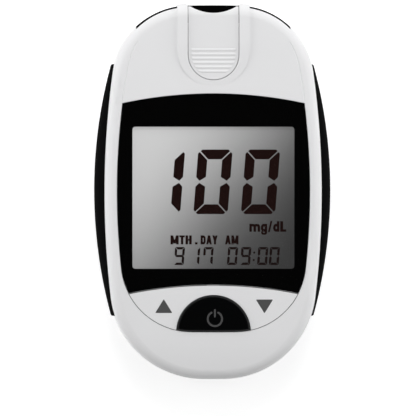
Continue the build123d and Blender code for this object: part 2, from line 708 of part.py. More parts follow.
def rails(raised, inner):
    """Raised border round the slider's track, fading into the face at its round end."""
    solid = (raised & prism(rail_face(), RAIL_FOOT_Z, FACE_Z + BEYOND)) - inner
    slope = RAIL_RAISE / (RAIL_RISE_END_Y - RAIL_RISE_START_Y)
    low_y = RAIL_RISE_START_Y - BEYOND
    above = Polyline(
        (low_y, FACE_Z - slope * BEYOND),
        (RAIL_RISE_END_Y, FACE_Z + RAIL_RAISE),
        (RAIL_RISE_END_Y, FACE_Z + BEYOND),
        (low_y, FACE_Z + BEYOND),
        close=True,
    )
    reach = RAIL_HALF_WIDTH + BEYOND
    wedge = extrude(Plane.YZ * make_face(above), amount=reach, both=True)
    return solid - wedge


def screw_boss(x, y, radius, foot_z, hole_r, hole_end_z):
    boss = rod(radius, x, y, foot_z, INNER_FACE_Z + BOSS_ROOT)
    return boss, rod(hole_r, x, y, foot_z - BEYOND, hole_end_z)


def pivot_block():
    """Bearing block for the rocker, hung under the window's lower edge."""
    reach = PIVOT_R + PIVOT_PLAY + PIVOT_WALL
    half = reach + PIVOT_WALL / 2
    return block(-half, half, PIVOT_BLOCK_Y, PIVOT_BLOCK_END_Y, PIVOT_Z - reach, PIVOT_Z + reach)


def pivot_bore():
    return rod_along_y(PIVOT_R + PIVOT_PLAY, 0, PIVOT_BLOCK_Y - CUT, PIVOT_BLOCK_END_Y + CUT, PIVOT_Z)


def spring_stop():
    low = block(
        SPRING_X - SPRING_R - SPRING_STOP_MARGIN,
        SPRING_X + SPRING_R + SPRING_STOP_MARGIN,
        SPRING_STOP_Y,
        SPRING_STOP_Y + SPRING_STOP_THICKNESS,
        SPRING_STOP_FOOT_Z,
        INNER_FACE_Z + BOSS_ROOT,
    )
    stub = rod_along_y(
        SPRING_STUB_R, SPRING_X, SPRING_STOP_Y - SPRING_STUB_LENGTH / 2, SPRING_STOP_Y, SPRING_Z
    )
    return low + stub


def crease_ring(centre, radius):
    """V-shaped groove in the face along a circle."""
    top_z = FACE_Z + CREASE_DEPTH
    reach = 2 * CREASE_HALF_WIDTH
    corners = ((radius, FACE_Z - CREASE_DEPTH), (radius + reach, top_z), (radius - reach, top_z))
    section = Plane.XZ * make_face(Polyline(*corners, close=True))
    return Pos(*centre) * revolve(section, axis=Axis.Z)


def creases():
    """Two creases, each along the side of the shield outline from the window's corner upwards."""
    end_centre = (0.0, CASE_TOP - CASE_TOP_R)
    side_centre = (SHIELD_HALF_WIDTH - SHIELD_SIDE_R, SHIELD_WIDEST_Y)
    centre = corner_centre(end_centre, CASE_TOP_R, side_centre, SHIELD_SIDE_R, CASE_TOP_CORNER_R, 1)
    turn_y = beyond_centre(side_centre, centre, SHIELD_SIDE_R)[1]
    low_z, high_z = FACE_Z - CUT, FACE_Z + CUT
    along_side = crease_ring(side_centre, SHIELD_SIDE_R) & block(
        centre[0], CASE_HALF_WIDTH, SHIELD_WIDEST_Y, turn_y, low_z, high_z
    )
    round_corner = crease_ring(centre, CASE_TOP_CORNER_R) & block(
        centre[0], CASE_HALF_WIDTH, turn_y, CREASE_END_Y, low_z, high_z
    )
    crease = along_side + round_corner - prism(shield_face(CREASE_HALF_WIDTH), low_z, high_z)
    return [crease, mirrored(crease)]


def front_cover(outer, inner, raised, grips):
    shell = (outer - inner) & across(CASE_BOTTOM - BEYOND, CASE_TOP + BEYOND, PARTING_Z, FACE_Z + BEYOND)
    shell = shell - [band_ring(), port_block()]
    ledge = prism(window_face(LEDGE_MARGIN), LEDGE_BACK_Z, LEDGE_Z)
    track_floor = prism(
        tongue_face(TRACK_HALF_WIDTH + TRACK_FLOOR_MARGIN, SLIDER_ROUND_Y, PORT_BLOCK_Y),
        TRACK_BACK_Z,
        TRACK_FLOOR_Z + BOSS_ROOT,
    )
    shell = shell + [ledge, track_floor]
    leg_slot = block(
        -LEG_HALF_WIDTH - LEG_PLAY,
        LEG_HALF_WIDTH + LEG_PLAY,
        LEG_START_Y - LEG_PLAY,
        LEG_END_Y + SLIDER_TRAVEL + LEG_PLAY,
        TRACK_BACK_Z - CUT,
        FACE_Z,
    )
    shell = shell - [
        prism(shield_face(), LEDGE_Z, FACE_Z + BEYOND),
        prism(key_area_face(), LEDGE_BACK_Z - CUT, FACE_Z),
        prism(view_rectangle(VIEW_WIDTH + 2 * VIEW_MARGIN, VIEW_HEIGHT + 2 * VIEW_MARGIN), 0, FACE_Z),
        prism(track_face(), TRACK_FLOOR_Z, FACE_Z + BEYOND),
        leg_slot,
        prism(lip_ring(LIP_PLAY), PARTING_Z - CUT, PARTING_Z + LIP_HEIGHT + LIP_PLAY),
    ]
    bosses = [
        screw_boss(
            x, y, BOSS_R, BOSS_JOINT_Z, CASE_SCREW_R + SCREW_PLAY, CASE_SCREW_TIP_Z + SCREW_BLIND_END
        )
        for x, y in CASE_SCREW_PLACES
    ]
    bosses += [
        screw_boss(
            x, y, BOARD_BOSS_R, BOARD_TOP_Z, BOARD_SCREW_R + SCREW_PLAY, BOARD_SCREW_TIP_Z + SCREW_BLIND_END
        )
        for x, y in BOARD_SCREW_PLACES
    ]
    shell = shell + [boss for boss, hole in bosses] - [hole for boss, hole in bosses]
    shell = shell + [rails(raised, inner), pivot_block(), spring_stop()]
    return shell - [pivot_bore(), jack_notch()] - creases() - grips


def cell_cavity():
    """Room for the two cells, open to the door."""
    low_z = DOOR_TOP_Z - CUT
    pockets = [rod(CELL_R + CELL_PLAY, x, y, low_z, BAY_CEILING_Z) for x, y in CELL_CENTRES]
    bridge = block(
        -CELL_X / 2,
        CELL_X / 2,
        CELL_Y - CELL_BRIDGE_HALF_LENGTH,
        CELL_Y + CELL_BRIDGE_HALF_LENGTH,
        low_z,
        BAY_CEILING_Z,
    )
    return pockets + [bridge]


def contact_windows():
    """Openings in the bay for the spring leaves and the rim contacts."""
    cuts = []
    for x, y in CELL_CENTRES:
        cuts.append(
            block(
                x - SPRING_LEAF_HALF_WIDTH - WINDOW_PLAY,
                x + SPRING_LEAF_HALF_WIDTH + WINDOW_PLAY,
                y - SPRING_LEAF_HALF_LENGTH - WINDOW_PLAY,
                y + SPRING_LEAF_HALF_LENGTH + WINDOW_PLAY,
                BAY_CEILING_Z - CUT,
                BOARD_Z,
            )
        )
        cuts.append(
            block(
                x - RIM_CONTACT_HALF_WIDTH - WINDOW_PLAY,
                x + RIM_CONTACT_HALF_WIDTH + WINDOW_PLAY,
                y - CELL_R - RIM_CONTACT_GAP - CONTACT_POST_THICKNESS - WINDOW_PLAY,
                y - CELL_R + CUT,
                CELL_Z + RIM_CONTACT_FOOT - WINDOW_PLAY,
                BOARD_Z,
            )
        )
    return cuts


def bay_solids():
    """Frame behind the door, a tube round each cell and the housing of the door's hinge."""
    frame = block(
        -BAY_HALF_WIDTH - BAY_WALL,
        BAY_HALF_WIDTH + BAY_WALL,
        BAY_BOTTOM_Y - BAY_WALL,
        BAY_TOP_Y + BAY_WALL,
        BACK_Z,
        BAY_FLOOR_Z,
    )
    tubes = [
        rod(CELL_R + CELL_PLAY + BAY_WALL, x, y, BACK_Z, BAY_CEILING_Z + BAY_CEILING_THICKNESS)
        for x, y in CELL_CENTRES
    ]
    housing = rod_along_x(
        KNUCKLE_R + DOOR_PLAY + KNUCKLE_HOUSING,
        -BAY_HALF_WIDTH - BAY_WALL,
        BAY_HALF_WIDTH + BAY_WALL,
        HINGE_Y,
        HINGE_Z,
    )
    return [frame, housing] + tubes


def rear_cover(outer, inner, grips):
    lower = across(CASE_BOTTOM - BEYOND, CASE_TOP + BEYOND, BACK_Z - CUT, PARTING_Z)
    shell = (outer - inner) & lower
    lip = prism(lip_ring() - case_face(-WALL), PARTING_Z - CUT, PARTING_Z + LIP_HEIGHT)
    tubes = [rod(REAR_TUBE_R, x, y, SCREW_HEAD_Z, BOSS_JOINT_Z) for x, y in CASE_SCREW_PLACES]
    sounder_ring = rod(
        SOUNDER_R + SOUNDER_PLAY + SOUNDER_RING_WALL,
        0,
        SOUNDER_Y,
        INNER_BACK_Z - BOSS_ROOT,
        INNER_BACK_Z + SOUNDER_RING_HEIGHT,
    )
    shell = shell + ([lip, sounder_ring] + tubes)
    bay = [solid & outer for solid in bay_solids()]
    shell = shell + bay
    cuts = cell_cavity() + contact_windows()
    cuts += [
        block(-BAY_HALF_WIDTH, BAY_HALF_WIDTH, BAY_BOTTOM_Y, BAY_TOP_Y, -CUT, DOOR_TOP_Z + DOOR_LIFT),
        rod_along_x(KNUCKLE_R + DOOR_PLAY, -BAY_HALF_WIDTH, BAY_HALF_WIDTH, HINGE_Y, HINGE_Z),
        rod_along_x(
            TRUNNION_R + TRUNNION_PLAY,
            -DOOR_HALF_WIDTH - TRUNNION_LENGTH - DOOR_PLAY,
            DOOR_HALF_WIDTH + TRUNNION_LENGTH + DOOR_PLAY,
            HINGE_Y,
            HINGE_Z,
        ),
        rod(NAIL_NOTCH_R, 0, NAIL_NOTCH_Y, -CUT, BACK_Z + NAIL_NOTCH_DEPTH),
        prism(
            Pos(0, LABEL_Y)
            * RectangleRounded(
                LABEL_WIDTH + 2 * LABEL_PLAY, LABEL_HEIGHT + 2 * LABEL_PLAY, LABEL_CORNER_R + LABEL_PLAY
            ),
            -CUT,
            BACK_Z + LABEL_SINK,
        ),
        rod(SOUNDER_R - SOUNDER_SEAT_WIDTH, 0, SOUNDER_Y, INNER_BACK_Z, BOARD_Z),
        rod(SOUNDER_R + SOUNDER_PLAY, 0, SOUNDER_Y, SOUNDER_SEAT_Z, BOARD_Z),
        rod(SOUND_HOLE_R, 0, SOUNDER_Y, -CUT, BOARD_Z),
        jack_notch(),
    ]
    for turn in range(SOUND_HOLE_COUNT):
        angle = 2 * math.pi * turn / SOUND_HOLE_COUNT
        x = SOUND_HOLE_CIRCLE_R * math.cos(angle)
        y = SOUNDER_Y + SOUND_HOLE_CIRCLE_R * math.sin(angle)
        cuts.append(rod(SOUND_HOLE_R, x, y, -CUT, BOARD_Z))
    for x, y in CASE_SCREW_PLACES:
        cuts.append(rod(CASE_SCREW_HEAD_R + SCREW_HEAD_PLAY, x, y, -CUT, SCREW_SHOULDER_Z))
        cuts.append(rod(CASE_SCREW_R + SCREW_HOLE_PLAY, x, y, -CUT, BOARD_Z))
    cuts += [rod(FOOT_R + FOOT_PLAY, x, y, -CUT, BACK_Z + FOOT_SINK) for x, y in FOOT_PLACES]
    return shell - cuts - grips


def top_band(outer, inner):
    band = outer & (band_ring() + port_block())
    slot_half = STRIP_SLOT_HALF_WIDTH
    slot = block(-slot_half, slot_half, PORT_BLOCK_Y - CUT, CASE_TOP + CUT, STRIP_SLOT_Z, SLOT_TOP_Z)
    slot_z = STRIP_SLOT_Z + STRIP_SLOT_HEIGHT / 2
    mouth_plane = Plane((0, CASE_TOP, slot_z), x_dir=(1, 0, 0), z_dir=(0, 1, 0))
    throat_plane = mouth_plane.offset(-FUNNEL_DEPTH)
    mouth = mouth_plane * Rectangle(
        2 * (slot_half + FUNNEL_FLARE), STRIP_SLOT_HEIGHT + 2 * FUNNEL_FLARE
    )
    throat = throat_plane * Rectangle(2 * slot_half, STRIP_SLOT_HEIGHT)
    funnel = loft([throat, mouth])
    rail_space = prism(rail_face(), RAIL_FOOT_Z, FACE_Z) - inner
    rabbet = prism(lip_ring(LIP_PLAY), PARTING_Z - CUT, PARTING_Z + LIP_HEIGHT + LIP_PLAY)
    under_slider = prism(track_face(), PORT_BLOCK_TOP_Z, FACE_Z)
    return band - [slot, funnel, rail_space, rabbet, under_slider]


# ---------------------------------------------------------------- window and display
def display_lens():
    lens = prism(window_face(-LENS_PLAY), LENS_BACK_Z, LENS_TOP_Z)
    return chamfer(lens.edges().group_by(Axis.Z)[-1], LENS_CHAMFER)


def lens_gasket():
    ring = window_face(-GASKET_INSET) - view_rectangle(
        VIEW_WIDTH + 2 * VIEW_MARGIN, VIEW_HEIGHT + 2 * VIEW_MARGIN
    )
    return prism(ring, LEDGE_Z, LENS_BACK_Z)


def lcd_glass():
    """Two glass plates; the lower one is as large as the holder's pocket takes."""
    lower = prism(view_rectangle(GLASS_WIDTH, GLASS_HEIGHT), GLASS_BACK_Z, GLASS_BACK_Z + GLASS_THICKNESS)
    upper = prism(
        view_rectangle(GLASS_WIDTH, GLASS_HEIGHT - ZEBRA_WIDTH),
        GLASS_BACK_Z + GLASS_THICKNESS,
        GLASS_TOP_Z,
    )
    return lower + upper


def lcd_polariser():
    sheet = view_rectangle(
        GLASS_WIDTH - 2 * POLARISER_INSET, GLASS_HEIGHT - ZEBRA_WIDTH - 2 * POLARISER_INSET
    )
    return prism(sheet, GLASS_TOP_Z, LEDGE_BACK_Z)


def zebra_centres():
    offset = GLASS_HEIGHT / 2 - ZEBRA_EDGE - ZEBRA_WIDTH / 2
    return (VIEW_Y + offset, VIEW_Y - offset)


def zebra_face(y, play=0.0):
    length = GLASS_WIDTH - 2 * HOLDER_SIDE_SHELF
    return Pos(0, y) * Rectangle(length + 2 * play, ZEBRA_WIDTH + 2 * play)


def lcd_holder():
    body = prism(view_rectangle(HOLDER_WIDTH, HOLDER_HEIGHT, HOLDER_WALL), BOARD_TOP_Z, HOLDER_TOP_Z)
    pocket = prism(
        view_rectangle(GLASS_WIDTH + 2 * HOLDER_PLAY, GLASS_HEIGHT + 2 * HOLDER_PLAY),
        GLASS_BACK_Z,
        FACE_Z,
    )
    window = prism(
        view_rectangle(GLASS_WIDTH - 2 * HOLDER_SIDE_SHELF, GLASS_HEIGHT - 2 * HOLDER_END_SHELF),
        BOARD_Z,
        FACE_Z,
    )
    slots = [prism(zebra_face(y, ZEBRA_PLAY), BOARD_Z, FACE_Z) for y in zebra_centres()]
    return body - ([pocket, window] + slots)


def zebra_strips():
    return [prism(zebra_face(y), BOARD_TOP_Z, GLASS_BACK_Z) for y in zebra_centres()]


# ---------------------------------------------------------------- circuit board
def main_board():
    outline = case_face(-BOARD_MARGIN) & box_face(
        -CASE_HALF_WIDTH, CASE_HALF_WIDTH, BOARD_BOTTOM_Y, BOARD_TOP_Y
    )
    notches = [disc(BOSS_R + BOARD_NOTCH_PLAY, x, y) for x, y in CASE_SCREW_PLACES]
    holes = [disc(BOARD_SCREW_R + SCREW_HOLE_PLAY, x, y) for x, y in BOARD_SCREW_PLACES]
    return prism(outline - (notches + holes), BOARD_Z, BOARD_TOP_Z)


def processor_chip():
    body_top = BOARD_Z - CHIP_LIFT
    half = CHIP_SIZE / 2
    body = block(-half, half, CHIP_Y - half, CHIP_Y + half, body_top - CHIP_HEIGHT, body_top)
    leads = []
    for index in range(CHIP_LEADS_PER_SIDE):
        along = (index - (CHIP_LEADS_PER_SIDE - 1) / 2) * CHIP_LEAD_PITCH
        low, high = along - CHIP_LEAD_WIDTH / 2, along + CHIP_LEAD_WIDTH / 2
        reach = half + CHIP_LEAD_REACH
        foot_z = BOARD_Z - CHIP_LEAD_THICKNESS
        leads.append(block(-reach, reach, CHIP_Y + low, CHIP_Y + high, foot_z, BOARD_Z))
        leads.append(block(low, high, CHIP_Y - reach, CHIP_Y + reach, foot_z, BOARD_Z))
    return body + leads


def slab_on_board(place, size):
    x, y = place
    width, length, height = size
    return block(x - width / 2, x + width / 2, y - length / 2, y + length / 2, BOARD_Z - height, BOARD_Z)


def board_components():
    """Crystal, memory, regulator, capacitor and a row of resistors under the board."""
    x, y = CRYSTAL_PLACE
    crystal = rod_along_y(CRYSTAL_R, x, y - CRYSTAL_LENGTH / 2, y + CRYSTAL_LENGTH / 2, BOARD_Z - CRYSTAL_R)
    capacitor = rod(CAPACITOR_R, *CAPACITOR_PLACE, BOARD_Z - CAPACITOR_HEIGHT, BOARD_Z)
    pieces = [
        crystal,
        capacitor,
        slab_on_board(MEMORY_PLACE, MEMORY_SIZE),
        slab_on_board(REGULATOR_PLACE, REGULATOR_SIZE),
    ]
    for index in range(CHIP_RESISTOR_COUNT):
        x = (index - (CHIP_RESISTOR_COUNT - 1) / 2) * CHIP_RESISTOR_PITCH
        pieces.append(slab_on_board((x, CHIP_RESISTOR_Y), CHIP_RESISTOR_SIZE))
    return pieces


def tact_switches():
    half = SWITCH_SIZE / 2
    switches = []
    for x, y in KEY_PLACES:
        body = block(x - half, x + half, y - half, y + half, BOARD_TOP_Z, SWITCH_TOP_Z)
        switches.append(body + rod(PLUNGER_R, x, y, SWITCH_TOP_Z, NUB_Z))
    return switches


def keypad_mat():
    """Silicone sheet on a rim, with a nub between each stem and its switch."""
    middle_y = (MAT_TOP_Y + MAT_BOTTOM_Y) / 2
    width, length = 2 * MAT_HALF_WIDTH, MAT_TOP_Y - MAT_BOTTOM_Y
    outline = Pos(0, middle_y) * RectangleRounded(width, length, MAT_CORNER_R)
    inside = Pos(0, middle_y) * Rectangle(width - 2 * MAT_RIM, length - 2 * MAT_RIM)
    rim = prism(outline - inside, BOARD_TOP_Z, MAT_Z)
    sheet = prism(outline, MAT_Z, MAT_Z + MAT_THICKNESS)
    return sheet + ([rim] + [rod(NUB_R, x, y, NUB_Z, NUB_TOP_Z) for x, y in KEY_PLACES])


# ---------------------------------------------------------------- keys
def power_button():
    face = key_area_face(-KEY_GAP) & power_face()
    body = prism(face, POWER_BACK_Z, FACE_Z + POWER_PROUD)
    body = fillet(body.edges().group_by(Axis.Z)[-1], POWER_EDGE)
    tab_y = SHIELD_BOTTOM - POWER_TAB_LENGTH
    half = POWER_TAB_HALF_WIDTH
    tab = block(-half, half, tab_y, POWER_STEM_Y, POWER_BACK_Z, POWER_BACK_Z + POWER_TAB_THICKNESS)
    return body + [tab, rod(STEM_R, 0, POWER_STEM_Y, STEM_Z, POWER_BACK_Z)]


def arrow_rocker():
    """White key plate that rocks about a pin under its middle."""
    plate = prism(key_area_face(-KEY_GAP) - power_face(KEY_GAP), PLATE_BACK_Z, FACE_Z)
    ear = block(
        -EAR_HALF_WIDTH,
        EAR_HALF_WIDTH,
        EAR_Y,
        EAR_Y + EAR_THICKNESS,
        PIVOT_Z - PIVOT_R - EAR_MARGIN,
        PLATE_BACK_Z,
    )
    pin_start = EAR_Y + EAR_THICKNESS
    pin = rod_along_y(PIVOT_R, 0, pin_start, pin_start + PIVOT_LENGTH, PIVOT_Z)
    stems = [rod(STEM_R, x, y, STEM_Z, PLATE_BACK_Z) for x, y in KEY_PLACES[1:]]
    return plate + ([ear, pin] + stems)


# ---------------------------------------------------------------- strip ejector and connector
def eject_slider(outer):
    tongue = tongue_face(SLIDER_HALF_WIDTH, SLIDER_ROUND_Y, CASE_TOP + BEYOND)
    scoop = disc(THUMB_SCOOP_R, y=THUMB_SCOOP_Y + THUMB_SCOOP_R)
    pad = prism(tongue - scoop, SLIDER_UNDERSIDE_Z, FACE_Z + BEYOND) & outer
    ribs = [
        rod_along_x(
            RIB_R,
            -SLIDER_HALF_WIDTH,
            SLIDER_HALF_WIDTH,
            RIB_FIRST_Y - index * RIB_PITCH,
            FACE_Z + RIB_PROUD - RIB_R,
        )
        for index in range(RIB_COUNT)
    ]
    inset = tongue_face(SLIDER_HALF_WIDTH - RIB_MARGIN, SLIDER_ROUND_Y, CASE_TOP)
    rib_space = prism(inset, SLIDER_UNDERSIDE_Z, FACE_Z + BEYOND)
    leg = block(
        -LEG_HALF_WIDTH, LEG_HALF_WIDTH, LEG_START_Y, LEG_END_Y, SLED_TOP_Z, SLIDER_UNDERSIDE_Z
    )
    peg = rod(PEG_R, 0, PEG_Y, SLED_Z, SLED_TOP_Z)
    head = rod(PEG_HEAD_R, 0, PEG_Y, SLED_Z, SLED_Z + PEG_HEAD_THICKNESS)
    return pad + ([rib & rib_space for rib in ribs] + [leg, peg, head])


def ejector_pusher():
    """Sled under the track: pushes the strip out and presses on the return spring."""
    sled = block(
        -SLED_HALF_WIDTH, SLED_HALF_WIDTH, SLED_BACK_Y, SLED_FRONT_Y, SLED_Z, SLED_TOP_Z
    )
    finger = block(
        -FINGER_HALF_WIDTH,
        FINGER_HALF_WIDTH,
        FINGER_START_Y + FINGER_PLAY,
        FINGER_START_Y + FINGER_PLAY + FINGER_LENGTH,
        FINGER_Z,
        SLED_Z,
    )
    spring_side = SPRING_X + SPRING_R
    arm = block(0, spring_side, SLED_BACK_Y, SPRING_START_Y, SLED_Z, SLED_TOP_Z)
    tab = block(
        SPRING_X - SPRING_R, spring_side, SLED_BACK_Y, SPRING_START_Y, SPRING_Z - SPRING_R, SLED_TOP_Z
    )
    stub = rod_along_y(
        SPRING_STUB_R, SPRING_X, SPRING_START_Y, SPRING_START_Y + SPRING_STUB_LENGTH, SPRING_Z
    )
    holes = [
        rod(PEG_R + PEG_PLAY, 0, PEG_Y, SLED_Z - CUT, SLED_TOP_Z),
        rod(PEG_HEAD_R + PEG_PLAY, 0, PEG_Y, SLED_Z - CUT, SLED_Z + PEG_HEAD_THICKNESS),
    ]
    return sled + [finger, arm, tab, stub] - holes


def eject_spring():
    pitch = (SPRING_LENGTH - 2 * SPRING_WIRE_R) / SPRING_TURNS
    mean_r = SPRING_R - SPRING_WIRE_R
    coil = Helix(pitch, pitch * SPRING_TURNS, mean_r)
    wire = sweep(Plane(coil @ 0, z_dir=coil % 0) * Circle(SPRING_WIRE_R), path=coil)
    return Pos(SPRING_X, SPRING_START_Y + SPRING_WIRE_R, SPRING_Z) * Rot(-90, 0, 0) * wire


def contact_xs():
    return [(i - (CONTACT_COUNT - 1) / 2) * CONTACT_PITCH for i in range(CONTACT_COUNT)]


def strip_connector():
    half = CONNECTOR_HALF_WIDTH
    body = block(-half, half, CONNECTOR_BACK_Y, CONNECTOR_FRONT_Y, BOARD_TOP_Z, CONNECTOR_TOP_Z)
    front = CONNECTOR_FRONT_Y + CUT
    slit = FINGER_HALF_WIDTH + FINGER_PLAY
    cuts = [
        block(
            -STRIP_SLOT_HALF_WIDTH, STRIP_SLOT_HALF_WIDTH, FINGER_START_Y, front, STRIP_SLOT_Z, SLOT_TOP_Z
        ),
        block(-slit, slit, FINGER_START_Y, front, STRIP_SLOT_Z, CONNECTOR_TOP_Z + CUT),
    ]
    for x in contact_xs():
        reach = CONTACT_WIDTH / 2 + CONTACT_PLAY
        low_z = STRIP_SLOT_Z - CONTACT_DROP - CONTACT_THICKNESS
        high_z = STRIP_SLOT_Z + CONTACT_PLAY
        cuts.append(block(x - reach, x + reach, CONNECTOR_BACK_Y - CUT, front, low_z, high_z))
    return body - cuts


def strip_contacts():
    """Leaf contacts on the floor of the strip slot, with tails soldered behind the connector."""
    contacts = []
    top_z = STRIP_SLOT_Z - CONTACT_DROP
    bottom_z = top_z - CONTACT_THICKNESS
    riser_y = CONNECTOR_BACK_Y - CONTACT_THICKNESS
    for x in contact_xs():
        low, high = x - CONTACT_WIDTH / 2, x + CONTACT_WIDTH / 2
        leaf = block(low, high, riser_y - CONTACT_THICKNESS, CONTACT_BUMP_Y + CONTACT_TIP, bottom_z, top_z)
        bump = rod_along_x(CONTACT_BUMP_R, low, high, CONTACT_BUMP_Y, top_z) - block(
            low, high, CONTACT_BUMP_Y - CUT, CONTACT_BUMP_Y + CUT, 0, bottom_z
        )
        riser = block(low, high, riser_y - CONTACT_THICKNESS, riser_y, BOARD_TOP_Z, top_z)
        tail = block(
            low, high, riser_y - CONTACT_TAIL, riser_y, BOARD_TOP_Z, BOARD_TOP_Z + CONTACT_THICKNESS
        )
        contacts.append(leaf + [bump, riser, tail])
    return contacts


# ---------------------------------------------------------------- cells, contacts and door
def coin_cells():
    """Each cell is a wide can with a slightly smaller cap towards the board."""
    cells = []
    for x, y in CELL_CENTRES:
        can = rod(CELL_R, x, y, CELL_Z, CELL_TOP_Z - CELL_CAN_STEP)
        cap = rod(CELL_R - 2 * CELL_CAN_STEP, x, y, CELL_TOP_Z - CELL_CAN_STEP, CELL_TOP_Z)
        cells.append(can + cap)
    return cells


def spring_leaf_contacts():
    leaves = []
    for x, y in CELL_CENTRES:
        leaf = block(
            x - SPRING_LEAF_HALF_WIDTH,
            x + SPRING_LEAF_HALF_WIDTH,
            y - SPRING_LEAF_HALF_LENGTH,
            y + SPRING_LEAF_HALF_LENGTH,
            CELL_TOP_Z + SPRING_LEAF_GAP,
            LEAF_TOP_Z,
        )
        post = block(
            x - SPRING_LEAF_POST_HALF_WIDTH,
            x + SPRING_LEAF_POST_HALF_WIDTH,
            y + SPRING_LEAF_HALF_LENGTH - CONTACT_POST_THICKNESS,
            y + SPRING_LEAF_HALF_LENGTH,
            CELL_TOP_Z + SPRING_LEAF_GAP,
            BOARD_Z,
        )
        leaves.append(leaf + post)
    return leaves


def rim_contacts():
    contacts = []
    for x, y in CELL_CENTRES:
        near_y = y - CELL_R - RIM_CONTACT_GAP
        contacts.append(
            block(
                x - RIM_CONTACT_HALF_WIDTH,
                x + RIM_CONTACT_HALF_WIDTH,
                near_y - CONTACT_POST_THICKNESS,
                near_y,
                CELL_Z + RIM_CONTACT_FOOT,
                BOARD_Z,
            )
        )
    return contacts


def battery_door(outer):
    plate = block(
        -DOOR_HALF_WIDTH, DOOR_HALF_WIDTH, BAY_BOTTOM_Y + DOOR_PLAY, HINGE_Y, BACK_Z - CUT, DOOR_TOP_Z
    )
    knuckle = rod_along_x(KNUCKLE_R, -DOOR_HALF_WIDTH, DOOR_HALF_WIDTH, HINGE_Y, HINGE_Z)
    end = DOOR_HALF_WIDTH + TRUNNION_LENGTH
    trunnions = rod_along_x(TRUNNION_R, -end, end, HINGE_Y, HINGE_Z)
    pads = [rod(CELL_PAD_R, x, y, DOOR_TOP_Z - BOSS_ROOT, CELL_Z - CELL_PAD_GAP) for x, y in CELL_CENTRES]
    return (plate & outer) + ([knuckle & outer, trunnions] + pads)


# ---------------------------------------------------------------- small parts
def drive_cross(x, y, head_r, z_low):
    half_length = head_r * DRIVE_SLOT_SHARE
    half_width = DRIVE_SLOT_WIDTH / 2
    top_z = z_low + DRIVE_SLOT_DEPTH
    return [
        block(x - half_length, x + half_length, y - half_width, y + half_width, z_low - CUT, top_z),
        block(x - half_width, x + half_width, y - half_length, y + half_length, z_low - CUT, top_z),
    ]


def screw(x, y, head_r, shank_r, head_z, shoulder_z, tip_z):
    head = rod(head_r, x, y, head_z, shoulder_z)
    return head + rod(shank_r, x, y, shoulder_z, tip_z) - drive_cross(x, y, head_r, head_z)


def case_screws():
    return [
        screw(x, y, CASE_SCREW_HEAD_R, CASE_SCREW_R, SCREW_HEAD_Z, SCREW_SHOULDER_Z, CASE_SCREW_TIP_Z)
        for x, y in CASE_SCREW_PLACES
    ]


def board_screws():
    head_z = BOARD_Z - BOARD_SCREW_HEAD_HEIGHT
    return [
        screw(x, y, BOARD_SCREW_HEAD_R, BOARD_SCREW_R, head_z, BOARD_Z, BOARD_SCREW_TIP_Z)
        for x, y in BOARD_SCREW_PLACES
    ]


def rubber_feet():
    feet = []
    for x, y in FOOT_PLACES:
        foot = rod(FOOT_R, x, y, 0, BACK_Z + FOOT_SINK)
        feet.append(fillet(foot.edges().group_by(Axis.Z)[0], FOOT_ROUND))
    return feet


def rear_label():
    plate = Pos(0, LABEL_Y) * RectangleRounded(LABEL_WIDTH, LABEL_HEIGHT, LABEL_CORNER_R)
    top_z = BACK_Z + LABEL_SINK
    return prism(plate, top_z - LABEL_THICKNESS, top_z)


def sounder_disc():
    brass_top = SOUNDER_SEAT_Z + SOUNDER_BRASS
    brass = rod(SOUNDER_R, 0, SOUNDER_Y, SOUNDER_SEAT_Z, brass_top)
    return brass + rod(SOUNDER_CERAMIC_R, 0, SOUNDER_Y, brass_top, brass_top + SOUNDER_CERAMIC)


def sounder_pins():
    """Spring pins from the board: one meets the ceramic, the other the brass rim."""
    brass_top = SOUNDER_SEAT_Z + SOUNDER_BRASS
    (ceramic_x, ceramic_y), (brass_x, brass_y) = SOUNDER_PIN_PLACES
    return [
        rod(SOUNDER_PIN_R, ceramic_x, ceramic_y, brass_top + SOUNDER_CERAMIC, BOARD_Z),
        rod(SOUNDER_PIN_R, brass_x, brass_y, brass_top, BOARD_Z),
    ]


def data_jack():
    nose_end = JACK_FRONT_Y + JACK_NOSE_LENGTH
    body = block(
        -JACK_HALF_WIDTH, JACK_HALF_WIDTH, nose_end, JACK_BACK_Y, JACK_Z - JACK_HALF_HEIGHT, BOARD_Z
    )
    nose = rod_along_y(JACK_NOSE_R, 0, JACK_FRONT_Y, nose_end, JACK_Z)
    bore = rod_along_y(JACK_BORE_R, 0, JACK_FRONT_Y - CUT, JACK_FRONT_Y + JACK_BORE_LENGTH, JACK_Z)
    return body + nose - bore


